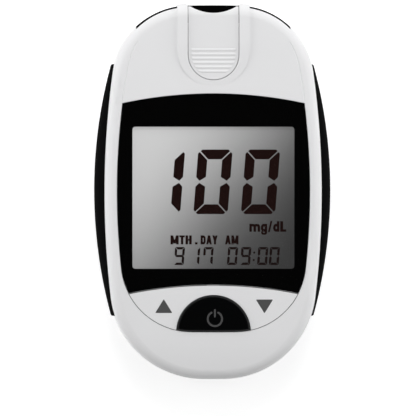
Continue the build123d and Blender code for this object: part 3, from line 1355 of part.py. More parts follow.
# ---------------------------------------------------------------- assembly
def all_pieces():
    """Every node's name with its solid or list of solids."""
    outer = pebble()
    inner = pebble(-WALL)
    raised = pebble(RAIL_RAISE)
    right_grip = grip_solid()
    left_grip = mirrored(right_grip)
    grips = [right_grip, left_grip]
    return {
        "front_cover": front_cover(outer, inner, raised, grips),
        "rear_cover": rear_cover(outer, inner, grips),
        "top_band": top_band(outer, inner),
        "right_grip": right_grip,
        "left_grip": left_grip,
        "display_lens": display_lens(),
        "lens_gasket": lens_gasket(),
        "lcd_glass": lcd_glass(),
        "lcd_polariser": lcd_polariser(),
        "lcd_holder": lcd_holder(),
        "zebra_strips": zebra_strips(),
        "main_board": main_board(),
        "processor_chip": processor_chip(),
        "board_components": board_components(),
        "tact_switches": tact_switches(),
        "keypad_mat": keypad_mat(),
        "power_button": power_button(),
        "arrow_rocker": arrow_rocker(),
        "eject_slider": eject_slider(outer),
        "ejector_pusher": ejector_pusher(),
        "eject_spring": eject_spring(),
        "strip_connector": strip_connector(),
        "strip_contacts": strip_contacts(),
        "coin_cells": coin_cells(),
        "spring_leaf_contacts": spring_leaf_contacts(),
        "rim_contacts": rim_contacts(),
        "battery_door": battery_door(outer),
        "case_screws": case_screws(),
        "board_screws": board_screws(),
        "rubber_feet": rubber_feet(),
        "rear_label": rear_label(),
        "sounder_disc": sounder_disc(),
        "sounder_pins": sounder_pins(),
        "data_jack": data_jack(),
    }


def main():
    os.makedirs("parts", exist_ok=True)
    for name, piece in all_pieces().items():
        shape = Compound(children=piece) if isinstance(piece, list) else piece
        shape.label = name
        export_step(shape, f"parts/{name}.step")


if __name__ == "__main__":
    main()
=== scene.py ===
import json
import math

import bmesh
import bpy
from mathutils import Matrix, Vector

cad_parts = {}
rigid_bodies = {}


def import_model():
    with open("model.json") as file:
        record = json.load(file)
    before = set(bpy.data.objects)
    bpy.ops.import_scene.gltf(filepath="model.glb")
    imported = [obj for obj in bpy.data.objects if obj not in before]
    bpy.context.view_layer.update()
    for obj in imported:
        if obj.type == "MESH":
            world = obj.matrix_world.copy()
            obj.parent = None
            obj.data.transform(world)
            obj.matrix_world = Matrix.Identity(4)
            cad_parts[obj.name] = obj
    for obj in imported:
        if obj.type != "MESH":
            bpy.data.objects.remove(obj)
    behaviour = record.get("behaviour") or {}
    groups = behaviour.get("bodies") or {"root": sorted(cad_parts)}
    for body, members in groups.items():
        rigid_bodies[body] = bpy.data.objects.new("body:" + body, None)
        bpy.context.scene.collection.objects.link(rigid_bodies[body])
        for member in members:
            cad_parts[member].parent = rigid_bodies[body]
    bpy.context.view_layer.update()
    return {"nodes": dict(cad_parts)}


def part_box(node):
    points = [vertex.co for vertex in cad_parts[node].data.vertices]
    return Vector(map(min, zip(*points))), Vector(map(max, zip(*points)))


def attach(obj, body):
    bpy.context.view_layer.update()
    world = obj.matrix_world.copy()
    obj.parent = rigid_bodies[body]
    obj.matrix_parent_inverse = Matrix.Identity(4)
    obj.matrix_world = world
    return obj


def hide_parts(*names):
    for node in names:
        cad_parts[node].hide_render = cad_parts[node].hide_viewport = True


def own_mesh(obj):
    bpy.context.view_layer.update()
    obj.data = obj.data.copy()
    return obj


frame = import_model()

bl_info = {
    "name": "Blood glucose meter",
    "version": (1, 0, 0),
    "blender": (4, 5, 0),
    "location": "3D Viewport > Sidebar > Meter",
    "description": "Finishes, prints, display and stage of a palm-sized blood glucose meter",
    "category": "Object",
}

MM = 0.001
NODES = frame["nodes"]
FACE_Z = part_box("arrow_rocker")[1].z
VIEW_MIDDLE_Y = (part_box("lcd_polariser")[0].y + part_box("lcd_polariser")[1].y) / 2
FILM_TOP_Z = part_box("lcd_polariser")[1].z
PANE_BACK_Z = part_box("display_lens")[0].z
SCREW_HEAD_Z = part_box("case_screws")[0].z
# Share of the display film's colour that glows as painted light, so that the window rim's shadow doesn't show
# on it
FILM_GLOW = 0.6
# The painted reflection's fade across the film: how much it runs along the meter for each step across, and
# its reach in mm
REFLECTION_SLOPE = -0.87
REFLECTION_REACH = 31.0
WHITE = (1.0, 1.0, 1.0, 1.0)
# Pixels across the square picture
PICTURE_PIXELS = 416


# ---------------------------------------------------------------- colours and node trees
def linear(code):
    """An sRGB hex colour as linear red, green, blue and alpha."""
    channels = [int(code[start : start + 2], 16) / 255 for start in (1, 3, 5)]
    return tuple(c / 12.92 if c <= 0.04045 else ((c + 0.055) / 1.055) ** 2.4 for c in channels) + (1.0,)


def per_mm(size):
    """Texture scale on Object coordinates for a pattern of that size in millimetres."""
    return 1000.0 / size


def add_node(tree, kind, settings=None, links=None):
    """Adds a node. A setting is a property of the node or the value of one of its input sockets."""
    node = tree.nodes.new(kind)
    for key, value in (settings or {}).items():
        if isinstance(key, str) and key in node.bl_rna.properties:
            setattr(node, key, value)
        else:
            node.inputs[key].default_value = value
    for key, output in (links or {}).items():
        tree.links.new(output, node.inputs[key])
    return node


def new_material(name):
    material = bpy.data.materials.new(name)
    material.use_nodes = True
    material.node_tree.nodes.clear()
    return material, material.node_tree


def finish_material(tree, shader):
    add_node(tree, "ShaderNodeOutputMaterial", links={"Surface": shader.outputs[0]})


def uneven_colour(tree, place, colour, other, patch_mm):
    """Two near colours that drift into each other over patches of that size."""
    noise = {"Scale": per_mm(patch_mm), "Detail": 3.0}
    drift = add_node(tree, "ShaderNodeTexNoise", noise, {"Vector": place.outputs["Object"]})
    colours = {"data_type": "RGBA", 6: colour, 7: other}
    return add_node(tree, "ShaderNodeMix", colours, {0: drift.outputs["Fac"]}).outputs[2]


def mould_grain(tree, place, grain_mm, depth_mm):
    """Bump from the fine texture that a mould leaves."""
    noise = {"Scale": per_mm(grain_mm), "Detail": 2.0}
    grain = add_node(tree, "ShaderNodeTexNoise", noise, {"Vector": place.outputs["Object"]})
    relief = {"Strength": 1.0, "Distance": depth_mm * MM}
    return add_node(tree, "ShaderNodeBump", relief, {"Height": grain.outputs["Fac"]})


def moulded(name, colour, other, roughness, grain_mm, depth_mm, patch_mm=14.0, **sockets):
    """Moulded plastic or rubber: a nearly even colour with the fine texture of its mould."""
    material, tree = new_material(name)
    place = add_node(tree, "ShaderNodeTexCoord")
    shade = uneven_colour(tree, place, colour, other, patch_mm)
    bump = mould_grain(tree, place, grain_mm, depth_mm)
    settings = {"Roughness": roughness}
    settings.update({key.replace("_", " "): value for key, value in sockets.items()})
    shader = add_node(
        tree, "ShaderNodeBsdfPrincipled", settings, {"Base Color": shade, "Normal": bump.outputs["Normal"]}
    )
    finish_material(tree, shader)
    return material


def gloss_white_abs(colours):
    # ABS from a polished mould: an even neutral white with a soft sheen and a faint ripple
    return moulded(
        "gloss_white_abs", colours.case, linear("#E5E5E6"),
        roughness=0.3, grain_mm=3.0, depth_mm=0.0012,
    )


def gloss_black_abs(colours):
    # ABS from a polished mould: near black, with a thin soft highlight along its edge
    return moulded(
        "gloss_black_abs", colours.black, linear("#040506"),
        roughness=0.22, grain_mm=3.0, depth_mm=0.0008, Specular_IOR_Level=0.35,
    )


def satin_black_abs(colours):
    # ABS from a finely etched mould: the etch breaks up highlights, so the edges stay black too
    return moulded(
        "satin_black_abs", colours.black, linear("#060606"),
        roughness=0.7, grain_mm=0.4, depth_mm=0.002, Specular_IOR_Level=0.01,
    )


def soft_touch_rubber(colours):
    # Thermoplastic rubber moulded over the sides: matt black, its fine pebble grain traps the light
    return moulded(
        "soft_touch_rubber", colours.grip, linear("#0C0C0D"),
        roughness=0.75, grain_mm=0.45, depth_mm=0.004, Specular_IOR_Level=0.01,
    )


def clear_acrylic():
    """Cast acrylic sheet: water clear. Light passes straight through it to what lies behind."""
    material, tree = new_material("clear_acrylic")
    sheet = add_node(
        tree,
        "ShaderNodeBsdfPrincipled",
        {"Base Color": linear("#FDFDFD"), "Roughness": 0.02, "IOR": 1.49, "Transmission Weight": 1.0},
    )
    through = add_node(tree, "ShaderNodeBsdfTransparent", {"Color": linear("#FAFAFA")})
    rays = add_node(tree, "ShaderNodeLightPath")
    either = {0: rays.outputs["Is Shadow Ray"], 1: rays.outputs["Is Diffuse Ray"]}
    straight = add_node(tree, "ShaderNodeMath", {"operation": "MAXIMUM"}, either)
    parts = {0: straight.outputs[0], 1: sheet.outputs[0], 2: through.outputs[0]}
    finish_material(tree, add_node(tree, "ShaderNodeMixShader", links=parts))
    return material


def black_back_print():
    # Screen-printed ink that wets the window's back: no gap to reflect light, so dead black
    return moulded(
        "black_back_print", linear("#020202"), linear("#030303"),
        roughness=0.6, grain_mm=0.2, depth_mm=0.0005, Specular_IOR_Level=0.0,
    )


def liquid_crystal_film(colours):
    """Reflective display film: a silver grey with a painted reflection, brighter at the upper left and
    dimming to the lower right.

    Part of its colour glows as painted light, which keeps its edges bright under the window rim's shadow.
    """
    material, tree = new_material("liquid_crystal_film")
    place = add_node(tree, "ShaderNodeTexCoord")
    # Painted reflection: the film's grey fades along a slanted line across it
    run = add_node(
        tree,
        "ShaderNodeVectorMath",
        {"operation": "DOT_PRODUCT", 1: (1 / MM, REFLECTION_SLOPE / MM, 0.0)},
        {0: place.outputs["Object"]},
    )
    reach = {"From Min": -REFLECTION_REACH, "From Max": REFLECTION_REACH}
    share = add_node(tree, "ShaderNodeMapRange", reach, {"Value": run.outputs["Value"]})
    ramp = add_node(tree, "ShaderNodeValToRGB", links={"Fac": share.outputs["Result"]})
    ramp.color_ramp.interpolation = "B_SPLINE"
    stops = colours.film_stops()
    band = ramp.color_ramp.elements
    while len(band) > 1:
        band.remove(band[-1])
    band[0].position, band[0].color = stops[0]
    for position, colour in stops[1:]:
        band.new(position).color = colour
    light = {}
    # Painted light: this share of the film's colour is emission, the rest is lit as usual
    for socket, part in (("Base Color", 1 - FILM_GLOW), ("Emission Color", FILM_GLOW)):
        scale = {"operation": "SCALE", "Scale": part}
        light[socket] = add_node(tree, "ShaderNodeVectorMath", scale, {0: ramp.outputs["Color"]}).outputs[0]
    shader = add_node(
        tree,
        "ShaderNodeBsdfPrincipled",
        {"Roughness": 0.5, "Specular IOR Level": 0.05, "Emission Strength": 0.9},
        light,
    )
    finish_material(tree, shader)
    return material


def printed_ink(name, colour, shine=0.5):
    # Pad-printed or liquid-crystal mark: flat, even and slightly rough
    thinner = tuple(c * 0.92 for c in colour[:3]) + (1.0,)
    return moulded(
        name, colour, thinner,
        roughness=0.5, grain_mm=0.15, depth_mm=0.0005, patch_mm=2.0, Specular_IOR_Level=shine,
    )


# Scale of a metal's streaks: long along the meter where it is drawn or rolled, even where it is plated
DRAWN = (1.0, 0.08, 1.0)
PLATED = (1.0, 1.0, 1.0)


def metal(name, code, other, roughness, streak_mm, stretch):
    """Plated, drawn or rolled metal: fine streaks in its colour, roughness and relief."""
    material, tree = new_material(name)
    place = add_node(tree, "ShaderNodeTexCoord")
    drawn = add_node(tree, "ShaderNodeMapping", {"Scale": stretch}, {"Vector": place.outputs["Object"]})
    noise = {"Scale": per_mm(streak_mm), "Detail": 4.0}
    streaks = add_node(tree, "ShaderNodeTexNoise", noise, {"Vector": drawn.outputs["Vector"]}).outputs["Fac"]
    colours = {"data_type": "RGBA", 6: linear(code), 7: linear(other)}
    shade = add_node(tree, "ShaderNodeMix", colours, {0: streaks})
    spread = {"To Min": roughness * 0.8, "To Max": roughness * 1.3}
    rough = add_node(tree, "ShaderNodeMapRange", spread, {"Value": streaks})
    bump = add_node(tree, "ShaderNodeBump", {"Strength": 0.4, "Distance": 0.002 * MM}, {"Height": streaks})
    shader = add_node(
        tree,
        "ShaderNodeBsdfPrincipled",
        {"Metallic": 1.0},
        {"Base Color": shade.outputs[2], "Roughness": rough.outputs[0], "Normal": bump.outputs[0]},
    )
    finish_material(tree, shader)
    return material


def solder_mask():
    """Glass-fibre board under green solder mask: the weave shows faintly through the lacquer."""
    material, tree = new_material("green_solder_mask")
    place = add_node(tree, "ShaderNodeTexCoord")
    threads = {"Scale": per_mm(2.4), "Mortar Size": 0.01}
    weave = add_node(tree, "ShaderNodeTexBrick", threads, {"Vector": place.outputs["Object"]})
    greens = {"data_type": "RGBA", 6: linear("#0E5A34"), 7: linear("#0A4226")}
    shade = add_node(tree, "ShaderNodeMix", greens, {0: weave.outputs["Fac"]})
    shader = add_node(tree, "ShaderNodeBsdfPrincipled", {"Roughness": 0.35}, {"Base Color": shade.outputs[2]})
    finish_material(tree, shader)
    return material


# ---------------------------------------------------------------- meshes
def place_piece(name, mesh, material, body):
    """A finished piece: its place is in its mesh, and it rides on a body of the frame."""
    piece = bpy.data.objects.new(name, mesh)
    bpy.context.scene.collection.objects.link(piece)
    piece.data.materials.clear()
    piece.data.materials.append(material)
    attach(piece, body)
    return piece


def mesh_from(name, bm):
    bmesh.ops.recalc_face_normals(bm, faces=bm.faces)
    mesh = bpy.data.meshes.new(name)
    bm.to_mesh(mesh)
    bm.free()
    return mesh


def add_prism(bm, outline, z_low, z_high):
    """Adds a closed prism over an outline of (x, y) points, in metres."""
    low = [bm.verts.new((x, y, z_low)) for x, y in outline]
    high = [bm.verts.new((x, y, z_high)) for x, y in outline]
    bm.faces.new(list(reversed(low)))
    bm.faces.new(high)
    for index in range(len(outline)):
        after = (index + 1) % len(outline)
        bm.faces.new((low[index], low[after], high[after], high[index]))


def prism_mesh(name, outlines, z_low, z_high):
    bm = bmesh.new()
    for outline in outlines:
        add_prism(bm, outline, z_low, z_high)
    return mesh_from(name, bm)


def point_on(centre, radius, degrees):
    """The point of a circle at that angle."""
    turn = math.radians(degrees)
    return (centre[0] + radius * math.cos(turn), centre[1] + radius * math.sin(turn))


def arc(centre, radius, start_deg, end_deg, steps):
    """Points along an arc, both ends included."""
    sweep = end_deg - start_deg
    return [point_on(centre, radius, start_deg + sweep * index / steps) for index in range(steps + 1)]


def rounded_outline(corners, radius, steps=6):
    """A convex outline, given anticlockwise, with its corners rounded."""
    points = []
    count = len(corners)
    for index in range(count):
        here = Vector(corners[index])
        before = (Vector(corners[index - 1]) - here).normalized()
        after = (Vector(corners[(index + 1) % count]) - here).normalized()
        half = before.angle(after) / 2
        centre = here + (before + after).normalized() * (radius / math.sin(half))
        start = here + before * (radius / math.tan(half)) - centre
        sweep = math.pi - 2 * half
        for step in range(steps + 1):
            turn = Matrix.Rotation(sweep * step / steps, 2)
            points.append(tuple(centre + turn @ start))
    return points


def rectangle(x_low, y_low, x_high, y_high):
    return [(x_low, y_low), (x_high, y_low), (x_high, y_high), (x_low, y_high)]


def baked(source):
    """The object's mesh with its modifiers in it. The object itself goes away."""
    bpy.context.view_layer.update()
    graph = bpy.context.evaluated_depsgraph_get()
    mesh = bpy.data.meshes.new_from_object(source.evaluated_get(graph))
    bpy.data.objects.remove(source)
    return mesh


def scratch_object(name, data):
    piece = bpy.data.objects.new(name, data)
    bpy.context.scene.collection.objects.link(piece)
    return piece


def merged_copy(node):
    """The node's mesh as a new one, with the double points of its loose triangles merged."""
    bm = bmesh.new()
    bm.from_mesh(NODES[node].data)
    bmesh.ops.remove_doubles(bm, verts=bm.verts, dist=0.0005 * MM)
    mesh = bpy.data.meshes.new(node + "_copy")
    bm.to_mesh(mesh)
    bm.free()
    return mesh


# ---------------------------------------------------------------- Geometry Nodes trees
def new_geometry_tree(name, inputs):
    """A Geometry Nodes tree with a geometry input, the named inputs and a geometry output."""
    tree = bpy.data.node_groups.new(name, "GeometryNodeTree")
    tree.interface.new_socket("Geometry", in_out="INPUT", socket_type="NodeSocketGeometry")
    for label, kind in inputs:
        tree.interface.new_socket(label, in_out="INPUT", socket_type=kind)
    tree.interface.new_socket("Geometry", in_out="OUTPUT", socket_type="NodeSocketGeometry")
    return tree


def close_geometry_tree(tree, source, geometry):
    """Ends the tree in real faces with a material."""
    real = add_node(tree, "GeometryNodeRealizeInstances", links={"Geometry": geometry})
    coated = add_node(
        tree,
        "GeometryNodeSetMaterial",
        links={"Geometry": real.outputs["Geometry"], "Material": source.outputs["Material"]},
    )
    add_node(tree, "NodeGroupOutput", links={"Geometry": coated.outputs["Geometry"]})


def segment_tree():
    """Sets one lit segment on each point, then leans the digits about their baseline."""
    tree = new_geometry_tree(
        "display_segments",
        [
            ("Segment Shapes", "NodeSocketCollection"),
            ("Slant", "NodeSocketFloat"),
            ("Baseline", "NodeSocketFloat"),
            ("Material", "NodeSocketMaterial"),
        ],
    )
    source = add_node(tree, "NodeGroupInput")
    shapes = add_node(
        tree,
        "GeometryNodeCollectionInfo",
        {"Separate Children": True, "Reset Children": True},
        {"Collection": source.outputs["Segment Shapes"]},
    )
    which = add_node(tree, "GeometryNodeInputNamedAttribute", {"data_type": "INT", "Name": "segment"})
    lit = add_node(
        tree,
        "GeometryNodeInstanceOnPoints",
        {"Pick Instance": True},
        {
            "Points": source.outputs["Geometry"],
            "Instance": shapes.outputs["Instances"],
            "Instance Index": which.outputs["Attribute"],
        },
    )
    real = add_node(tree, "GeometryNodeRealizeInstances", links={"Geometry": lit.outputs["Instances"]})
    place = add_node(tree, "GeometryNodeInputPosition")
    split = add_node(tree, "ShaderNodeSeparateXYZ", links={0: place.outputs["Position"]})
    heights = {0: split.outputs["Y"], 1: source.outputs["Baseline"]}
    rise = add_node(tree, "ShaderNodeMath", {"operation": "SUBTRACT"}, heights)
    rise_and_slant = {0: rise.outputs[0], 1: source.outputs["Slant"]}
    lean = add_node(tree, "ShaderNodeMath", {"operation": "MULTIPLY"}, rise_and_slant)
    shift = add_node(tree, "ShaderNodeCombineXYZ", links={"X": lean.outputs[0]})
    upright = {"Geometry": real.outputs["Geometry"], "Offset": shift.outputs[0]}
    leaning = add_node(tree, "GeometryNodeSetPosition", links=upright)
    close_geometry_tree(tree, source, leaning.outputs["Geometry"])
    return tree


def screw_tree():
    """Sets a screw on each point, each turned by its own angle."""
    tree = new_geometry_tree(
        "case_screws_on_points",
        [("Screw", "NodeSocketObject"), ("Seed", "NodeSocketInt"), ("Material", "NodeSocketMaterial")],
    )
    source = add_node(tree, "NodeGroupInput")
    own_place = {"transform_space": "ORIGINAL"}
    form = add_node(tree, "GeometryNodeObjectInfo", own_place, {"Object": source.outputs["Screw"]})
    half_turn = {"data_type": "FLOAT", 2: 0.0, 3: math.pi}
    angle = add_node(tree, "FunctionNodeRandomValue", half_turn, {"Seed": source.outputs["Seed"]})
    turn = add_node(tree, "ShaderNodeCombineXYZ", links={"Z": angle.outputs[1]})
    screws = add_node(
        tree,
        "GeometryNodeInstanceOnPoints",
        links={
            "Points": source.outputs["Geometry"],
            "Instance": form.outputs["Geometry"],
            "Rotation": turn.outputs[0],
        },
    )
    close_geometry_tree(tree, source, screws.outputs["Instances"])
    return tree


def run_tree(tree, start, values):
    """Runs a tree on an object with that mesh and returns its result as a plain mesh."""
    work = scratch_object(tree.name + "_work", start)
    modifier = work.modifiers.new(tree.name, "NODES")
    modifier.node_group = tree
    for item in tree.interface.items_tree:
        if item.item_type == "SOCKET" and item.in_out == "INPUT" and item.name in values:
            modifier[item.identifier] = values[item.name]
    return baked(work)


# ---------------------------------------------------------------- sizes and colours
def length(name, description, default_mm):
    return bpy.props.FloatProperty(
        name=name,
        description=description,
        default=default_mm * MM,
        unit="LENGTH",
        subtype="DISTANCE",
        precision=5,
    )


def angle(name, description, default_deg):
    return bpy.props.FloatProperty(
        name=name, description=description, default=math.radians(default_deg), subtype="ANGLE"
    )


def colour(name, description, code):
    return bpy.props.FloatVectorProperty(
        name=name, description=description, default=linear(code), size=4, min=0.0, max=1.0, subtype="COLOR"
    )


class MeterWindowSizes(bpy.types.PropertyGroup):
    view_width: length("View width", "Width of the clear view in the window", 38.0)
    view_height: length("View height", "Height of the clear view in the window", 33.3)
    view_corner: length("View corner", "Radius of the clear view's corners", 0.7)
    print_thickness: length("Print thickness", "Thickness of the black print behind the window", 0.03)


class MeterDisplaySizes(bpy.types.PropertyGroup):
    ink: length("Segment thickness", "How far a lit segment stands on the film", 0.02)
    big_width: length("Reading width", "Width of one upright digit of the reading", 8.06)
    big_height: length("Reading height", "Height of the reading's digits", 15.14)
    big_stroke: length("Reading stroke", "Width of a segment of the reading", 2.28)
    big_gap: length("Reading gap", "Gap between two segments of the reading", 0.27)
    big_waist: length("Reading waist", "Gap between the upper and lower segments of the reading", 0.5)
    big_pitch: length("Reading pitch", "Distance from one digit of the reading to the next", 11.155)
    big_left: length("Reading place", "Left side of the reading's last digit", 6.47)
    big_base: length("Reading baseline", "Lower edge of the reading", -5.26)
    small_width: length("Clock width", "Width of one upright digit of the date and time", 2.34)
    small_height: length("Clock height", "Height of the date and time", 4.2)
    small_stroke: length("Clock stroke", "Width of a segment of the date and time", 0.56)
    small_gap: length("Clock gap", "Gap between two segments of the date and time", 0.1)
    small_waist: length("Clock waist", "Gap between their upper and lower segments", 0.16)
    small_base: length("Clock baseline", "Lower edge of the date and time", -17.2)
    slant: angle("Slant", "Lean of the digits", 4.5)
    unit_height: length("Unit height", "Height of the capitals in the unit of measure", 2.46)
    unit_base: length("Unit baseline", "Lower edge of the unit of measure", -9.4)
    word_height: length("Word height", "Height of the words over the date and time", 2.1)
    word_base: length("Word baseline", "Lower edge of the words over the date and time", -12.37)


class MeterKeySizes(bpy.types.PropertyGroup):
    ink: length("Ink thickness", "Thickness of the marks on the keys", 0.015)
    power_x: length("Power mark middle", "Place of the power mark across the key", 0.3)
    power_y: length("Power mark place", "Place of the power mark along the meter", -29.85)
    power_radius: length("Power mark radius", "Outer radius of the power mark's ring", 1.9)
    power_stroke: length("Power mark stroke", "Width of the power mark's lines", 0.45)
    power_opening: angle("Power mark opening", "Half the opening of the power mark's ring", 28.0)
    power_bar_top: length("Power bar top", "Upper end of the power mark's bar", -27.55)
    power_bar_low: length("Power bar foot", "Lower end of the power mark's bar", -29.5)
    up_x: length("Up arrow place", "Place of the upward arrow across the keys", -11.68)
    down_x: length("Down arrow place", "Place of the downward arrow across the keys", 11.95)
    arrow_top: length("Arrow top", "Upper edge of the arrows", -25.3)
    arrow_height: length("Arrow height", "Height of the arrows", 3.15)
    arrow_half_width: length("Arrow half width", "Half width of the arrows", 2.02)
    arrow_tip: length("Arrow tip", "How far a sharp tip stands past the arrow's height", 0.1)
    arrow_corner: length("Arrow corner", "Radius of the arrows' corners", 0.12)


class MeterScrewSizes(bpy.types.PropertyGroup):
    head_radius: length("Head radius", "Radius of a case screw's head", 1.9)
    head_height: length("Head height", "Height of a case screw's head", 1.3)
    shank_radius: length("Shank radius", "Radius of a case screw's shank", 0.95)
    shank_length: length("Shank length", "Length of a case screw's shank", 14.0)
    head_round: length("Head rounding", "Radius of the rim of a case screw's head", 0.25)
    recess_depth: length("Recess depth", "Depth of the cross recess", 0.75)
    recess_reach: length("Recess reach", "From the middle of the head to the end of the cross", 0.988)
    recess_width: length("Recess width", "Width of the cross's arms", 0.38)
    recess_taper: bpy.props.FloatProperty(
        name="Recess taper",
        description="Size of the recess's floor as a share of its brim",
        default=0.86,
        min=0.5,
        max=1.0,
        subtype="FACTOR",
    )


class MeterFlexingSizes(bpy.types.PropertyGroup):
    coil_closed: length("Closed coil", "Length of the return spring with the slider pushed forward", 3.9)
    mat_split: length("Mat split", "Half the width of the mat's middle part, under the power button", 5.9)
    mat_give: length("Mat give", "How far a nub gives way under its key", 0.37)
    nub_foot: length("Nub foot", "Height of the nubs' feet, which rest on the switches", 15.5)


class MeterColours(bpy.types.PropertyGroup):
    case: colour("Case", "White of the case", "#E9E9EA")
    black: colour("Black", "Black of the end band and the power key", "#030303")
    grip: colour("Grip", "Black of the side grips", "#080808")
    segment: colour("Lit segment", "Colour of a lit segment", "#200F0D")
    mark: colour("Key mark", "Grey of the arrows", "#515151")
    power_mark: colour("Power mark", "Grey of the power mark", "#4A4A4A")
    film_gain: bpy.props.FloatProperty(
        name="Film gain", description="Brightness of the display film", default=1.25, min=0.1, max=3.0
    )

    def film_stops(self):
        """Places and colours along the painted reflection's fade on the film, brightened for the window in
        front of it.
        """
        # Painted reflection: light at the upper left, dark at the lower right
        fade = ((0.0, "#D5D5D5"), (0.3, "#C2C2C2"), (0.65, "#555555"), (1.0, "#343434"))
        stops = []
        for place, code in fade:
            brightened = [min(1.0, channel * self.film_gain) for channel in linear(code)[:3]]
            stops.append((place, (*brightened, 1.0)))
        return stops


class MeterStageSettings(bpy.types.PropertyGroup):
    pixel: length("Pixel", "Width on the meter's face that one pixel of the picture covers", 0.2345)
    aim_x: length("Aim across", "Point of the face in the middle of the picture", -1.3)
    aim_y: length("Aim along", "Point of the face in the middle of the picture", -3.834)
    distance: length("Distance", "From the camera to the meter's face", 3000.0)
    turn: angle("Turn", "How far the camera stands to the left", 1.8)
    floor_size: length("Floor", "Side of the square floor", 8000.0)
    lamp_power: bpy.props.FloatProperty(
        name="Lamp power", description="Power of the lamp above the strip end", default=0.27, unit="POWER"
    )


# ---------------------------------------------------------------- digits
SEGMENT_LETTERS = "abcdefg"
# The segments that are lit in each digit
DIGITS = {"0": "abcdef", "1": "bc", "7": "abcf", "9": "abcdfg"}
# Digits of the date and time, each with its left side in mm
CLOCK = (("9", -9.28), ("1", -5.68), ("7", -2.55), ("0", 3.18), ("9", 6.3), ("0", 10.27), ("0", 13.02))
# Dots between the hours and the minutes: across the display, above the baseline and radius, in mm
COLON_X = 9.4
COLON_RISES = (1.15, 2.9)
COLON_RADIUS = 0.24


def segment_outlines(width, height, stroke, gap, waist_gap):
    """Outlines of an upright digit's seven segments, from its lower left corner."""
    mitre = gap / math.sqrt(2)
    cut = stroke * 0.42
    shoulder = stroke * 0.39
    point = stroke * 0.36
    middle = height / 2
    waist = waist_gap / 2
    in_x, in_y = (cut - mitre) / 2, (cut + mitre) / 2
    top = [
        (cut, height),
        (in_y, height - in_x),
        (stroke + mitre, height - stroke),
        (width - stroke - mitre, height - stroke),
        (width - in_y, height - in_x),
        (width - cut, height),
    ]
    upper_left = [
        (0, height - cut),
        (0, middle + waist + shoulder),
        (point, middle + waist),
        (stroke, middle + waist + shoulder),
        (stroke, height - stroke - mitre),
        (in_x, height - in_y),
    ]
    bar = stroke * 0.46
    across = [
        (point, middle),
        (point + bar, middle - bar),
        (width - point - bar, middle - bar),
        (width - point, middle),
        (width - point - bar, middle + bar),
        (point + bar, middle + bar),
    ]

    def flipped(outline):
        return [(x, height - y) for x, y in reversed(outline)]

    def swapped(outline):
        return [(width - x, y) for x, y in reversed(outline)]

    return {
        "a": top,
        "b": swapped(upper_left),
        "c": swapped(flipped(upper_left)),
        "d": flipped(top),
        "e": flipped(upper_left),
        "f": upper_left,
        "g": across,
    }


def lit_segments(name, digits, outlines, slant, base, material, ink):
    """Mesh of every lit segment of (character, left side) pairs on one baseline."""
    shapes = bpy.data.collections.new(name + "_shapes")
    bpy.context.scene.collection.children.link(shapes)
    for letter in SEGMENT_LETTERS:
        mesh = prism_mesh(name + "_" + letter, [outlines[letter]], -ink / 2, ink)
        shapes.objects.link(bpy.data.objects.new(name + "_" + letter, mesh))
    places, which = [], []
    for character, left in digits:
        for letter in DIGITS[character]:
            places.append((left, base, FILM_TOP_Z))
            which.append(SEGMENT_LETTERS.index(letter))
    points = bpy.data.meshes.new(name + "_points")
    points.from_pydata(places, [], [])
    points.attributes.new("segment", "INT", "POINT").data.foreach_set("value", which)
    mesh = run_tree(
        segment_tree(),
        points,
        {"Segment Shapes": shapes, "Slant": math.tan(slant), "Baseline": base, "Material": material},
    )
    for shape in list(shapes.objects):
        bpy.data.objects.remove(shape)
    bpy.data.collections.remove(shapes)
    return mesh


# Radii of a round stroke's shoulders, outside and inside, in widths of the pen
SHOULDER, SHOULDER_IN = 1.25, 0.45
# How far the two halves of a round letter lie over each other
OVERLAP = 0.02


def hoop(x_low, x_high, y_low, y_high, pen):
    """Outline of a stroke that goes up, over with round shoulders, and down again."""
    outer = pen * SHOULDER
    # In a narrow letter the inner shoulders stay just short of each other
    inner = min(pen * SHOULDER_IN, (x_high - x_low) * 0.48 - pen)
    top = y_high - pen
    return [
        (x_high - pen, y_low),
        (x_high, y_low),
        *arc((x_high - outer, y_high - outer), outer, 0, 90, 5),
        *arc((x_low + outer, y_high - outer), outer, 90, 180, 5),
        (x_low, y_low),
        (x_low + pen, y_low),
        *arc((x_low + pen + inner, top - inner), inner, 180, 90, 4),
        *arc((x_high - pen - inner, top - inner), inner, 90, 0, 4),
    ]


def upturned(outline, y_sum):
    """An outline turned upside down about half that height."""
    return [(x, y_sum - y) for x, y in reversed(outline)]


def bowl(x_low, x_high, y_low, y_high, pen):
    """Outlines of a round stroke that closes on itself, as an upper and a lower half."""
    upper = hoop(x_low, x_high, (y_low + y_high) / 2 - OVERLAP, y_high, pen)
    return [upper, upturned(upper, y_low + y_high)]


# Widths of the strokes of capitals and of small letters, in units of the capitals' height
PEN = 0.29
FINE_PEN = 0.245
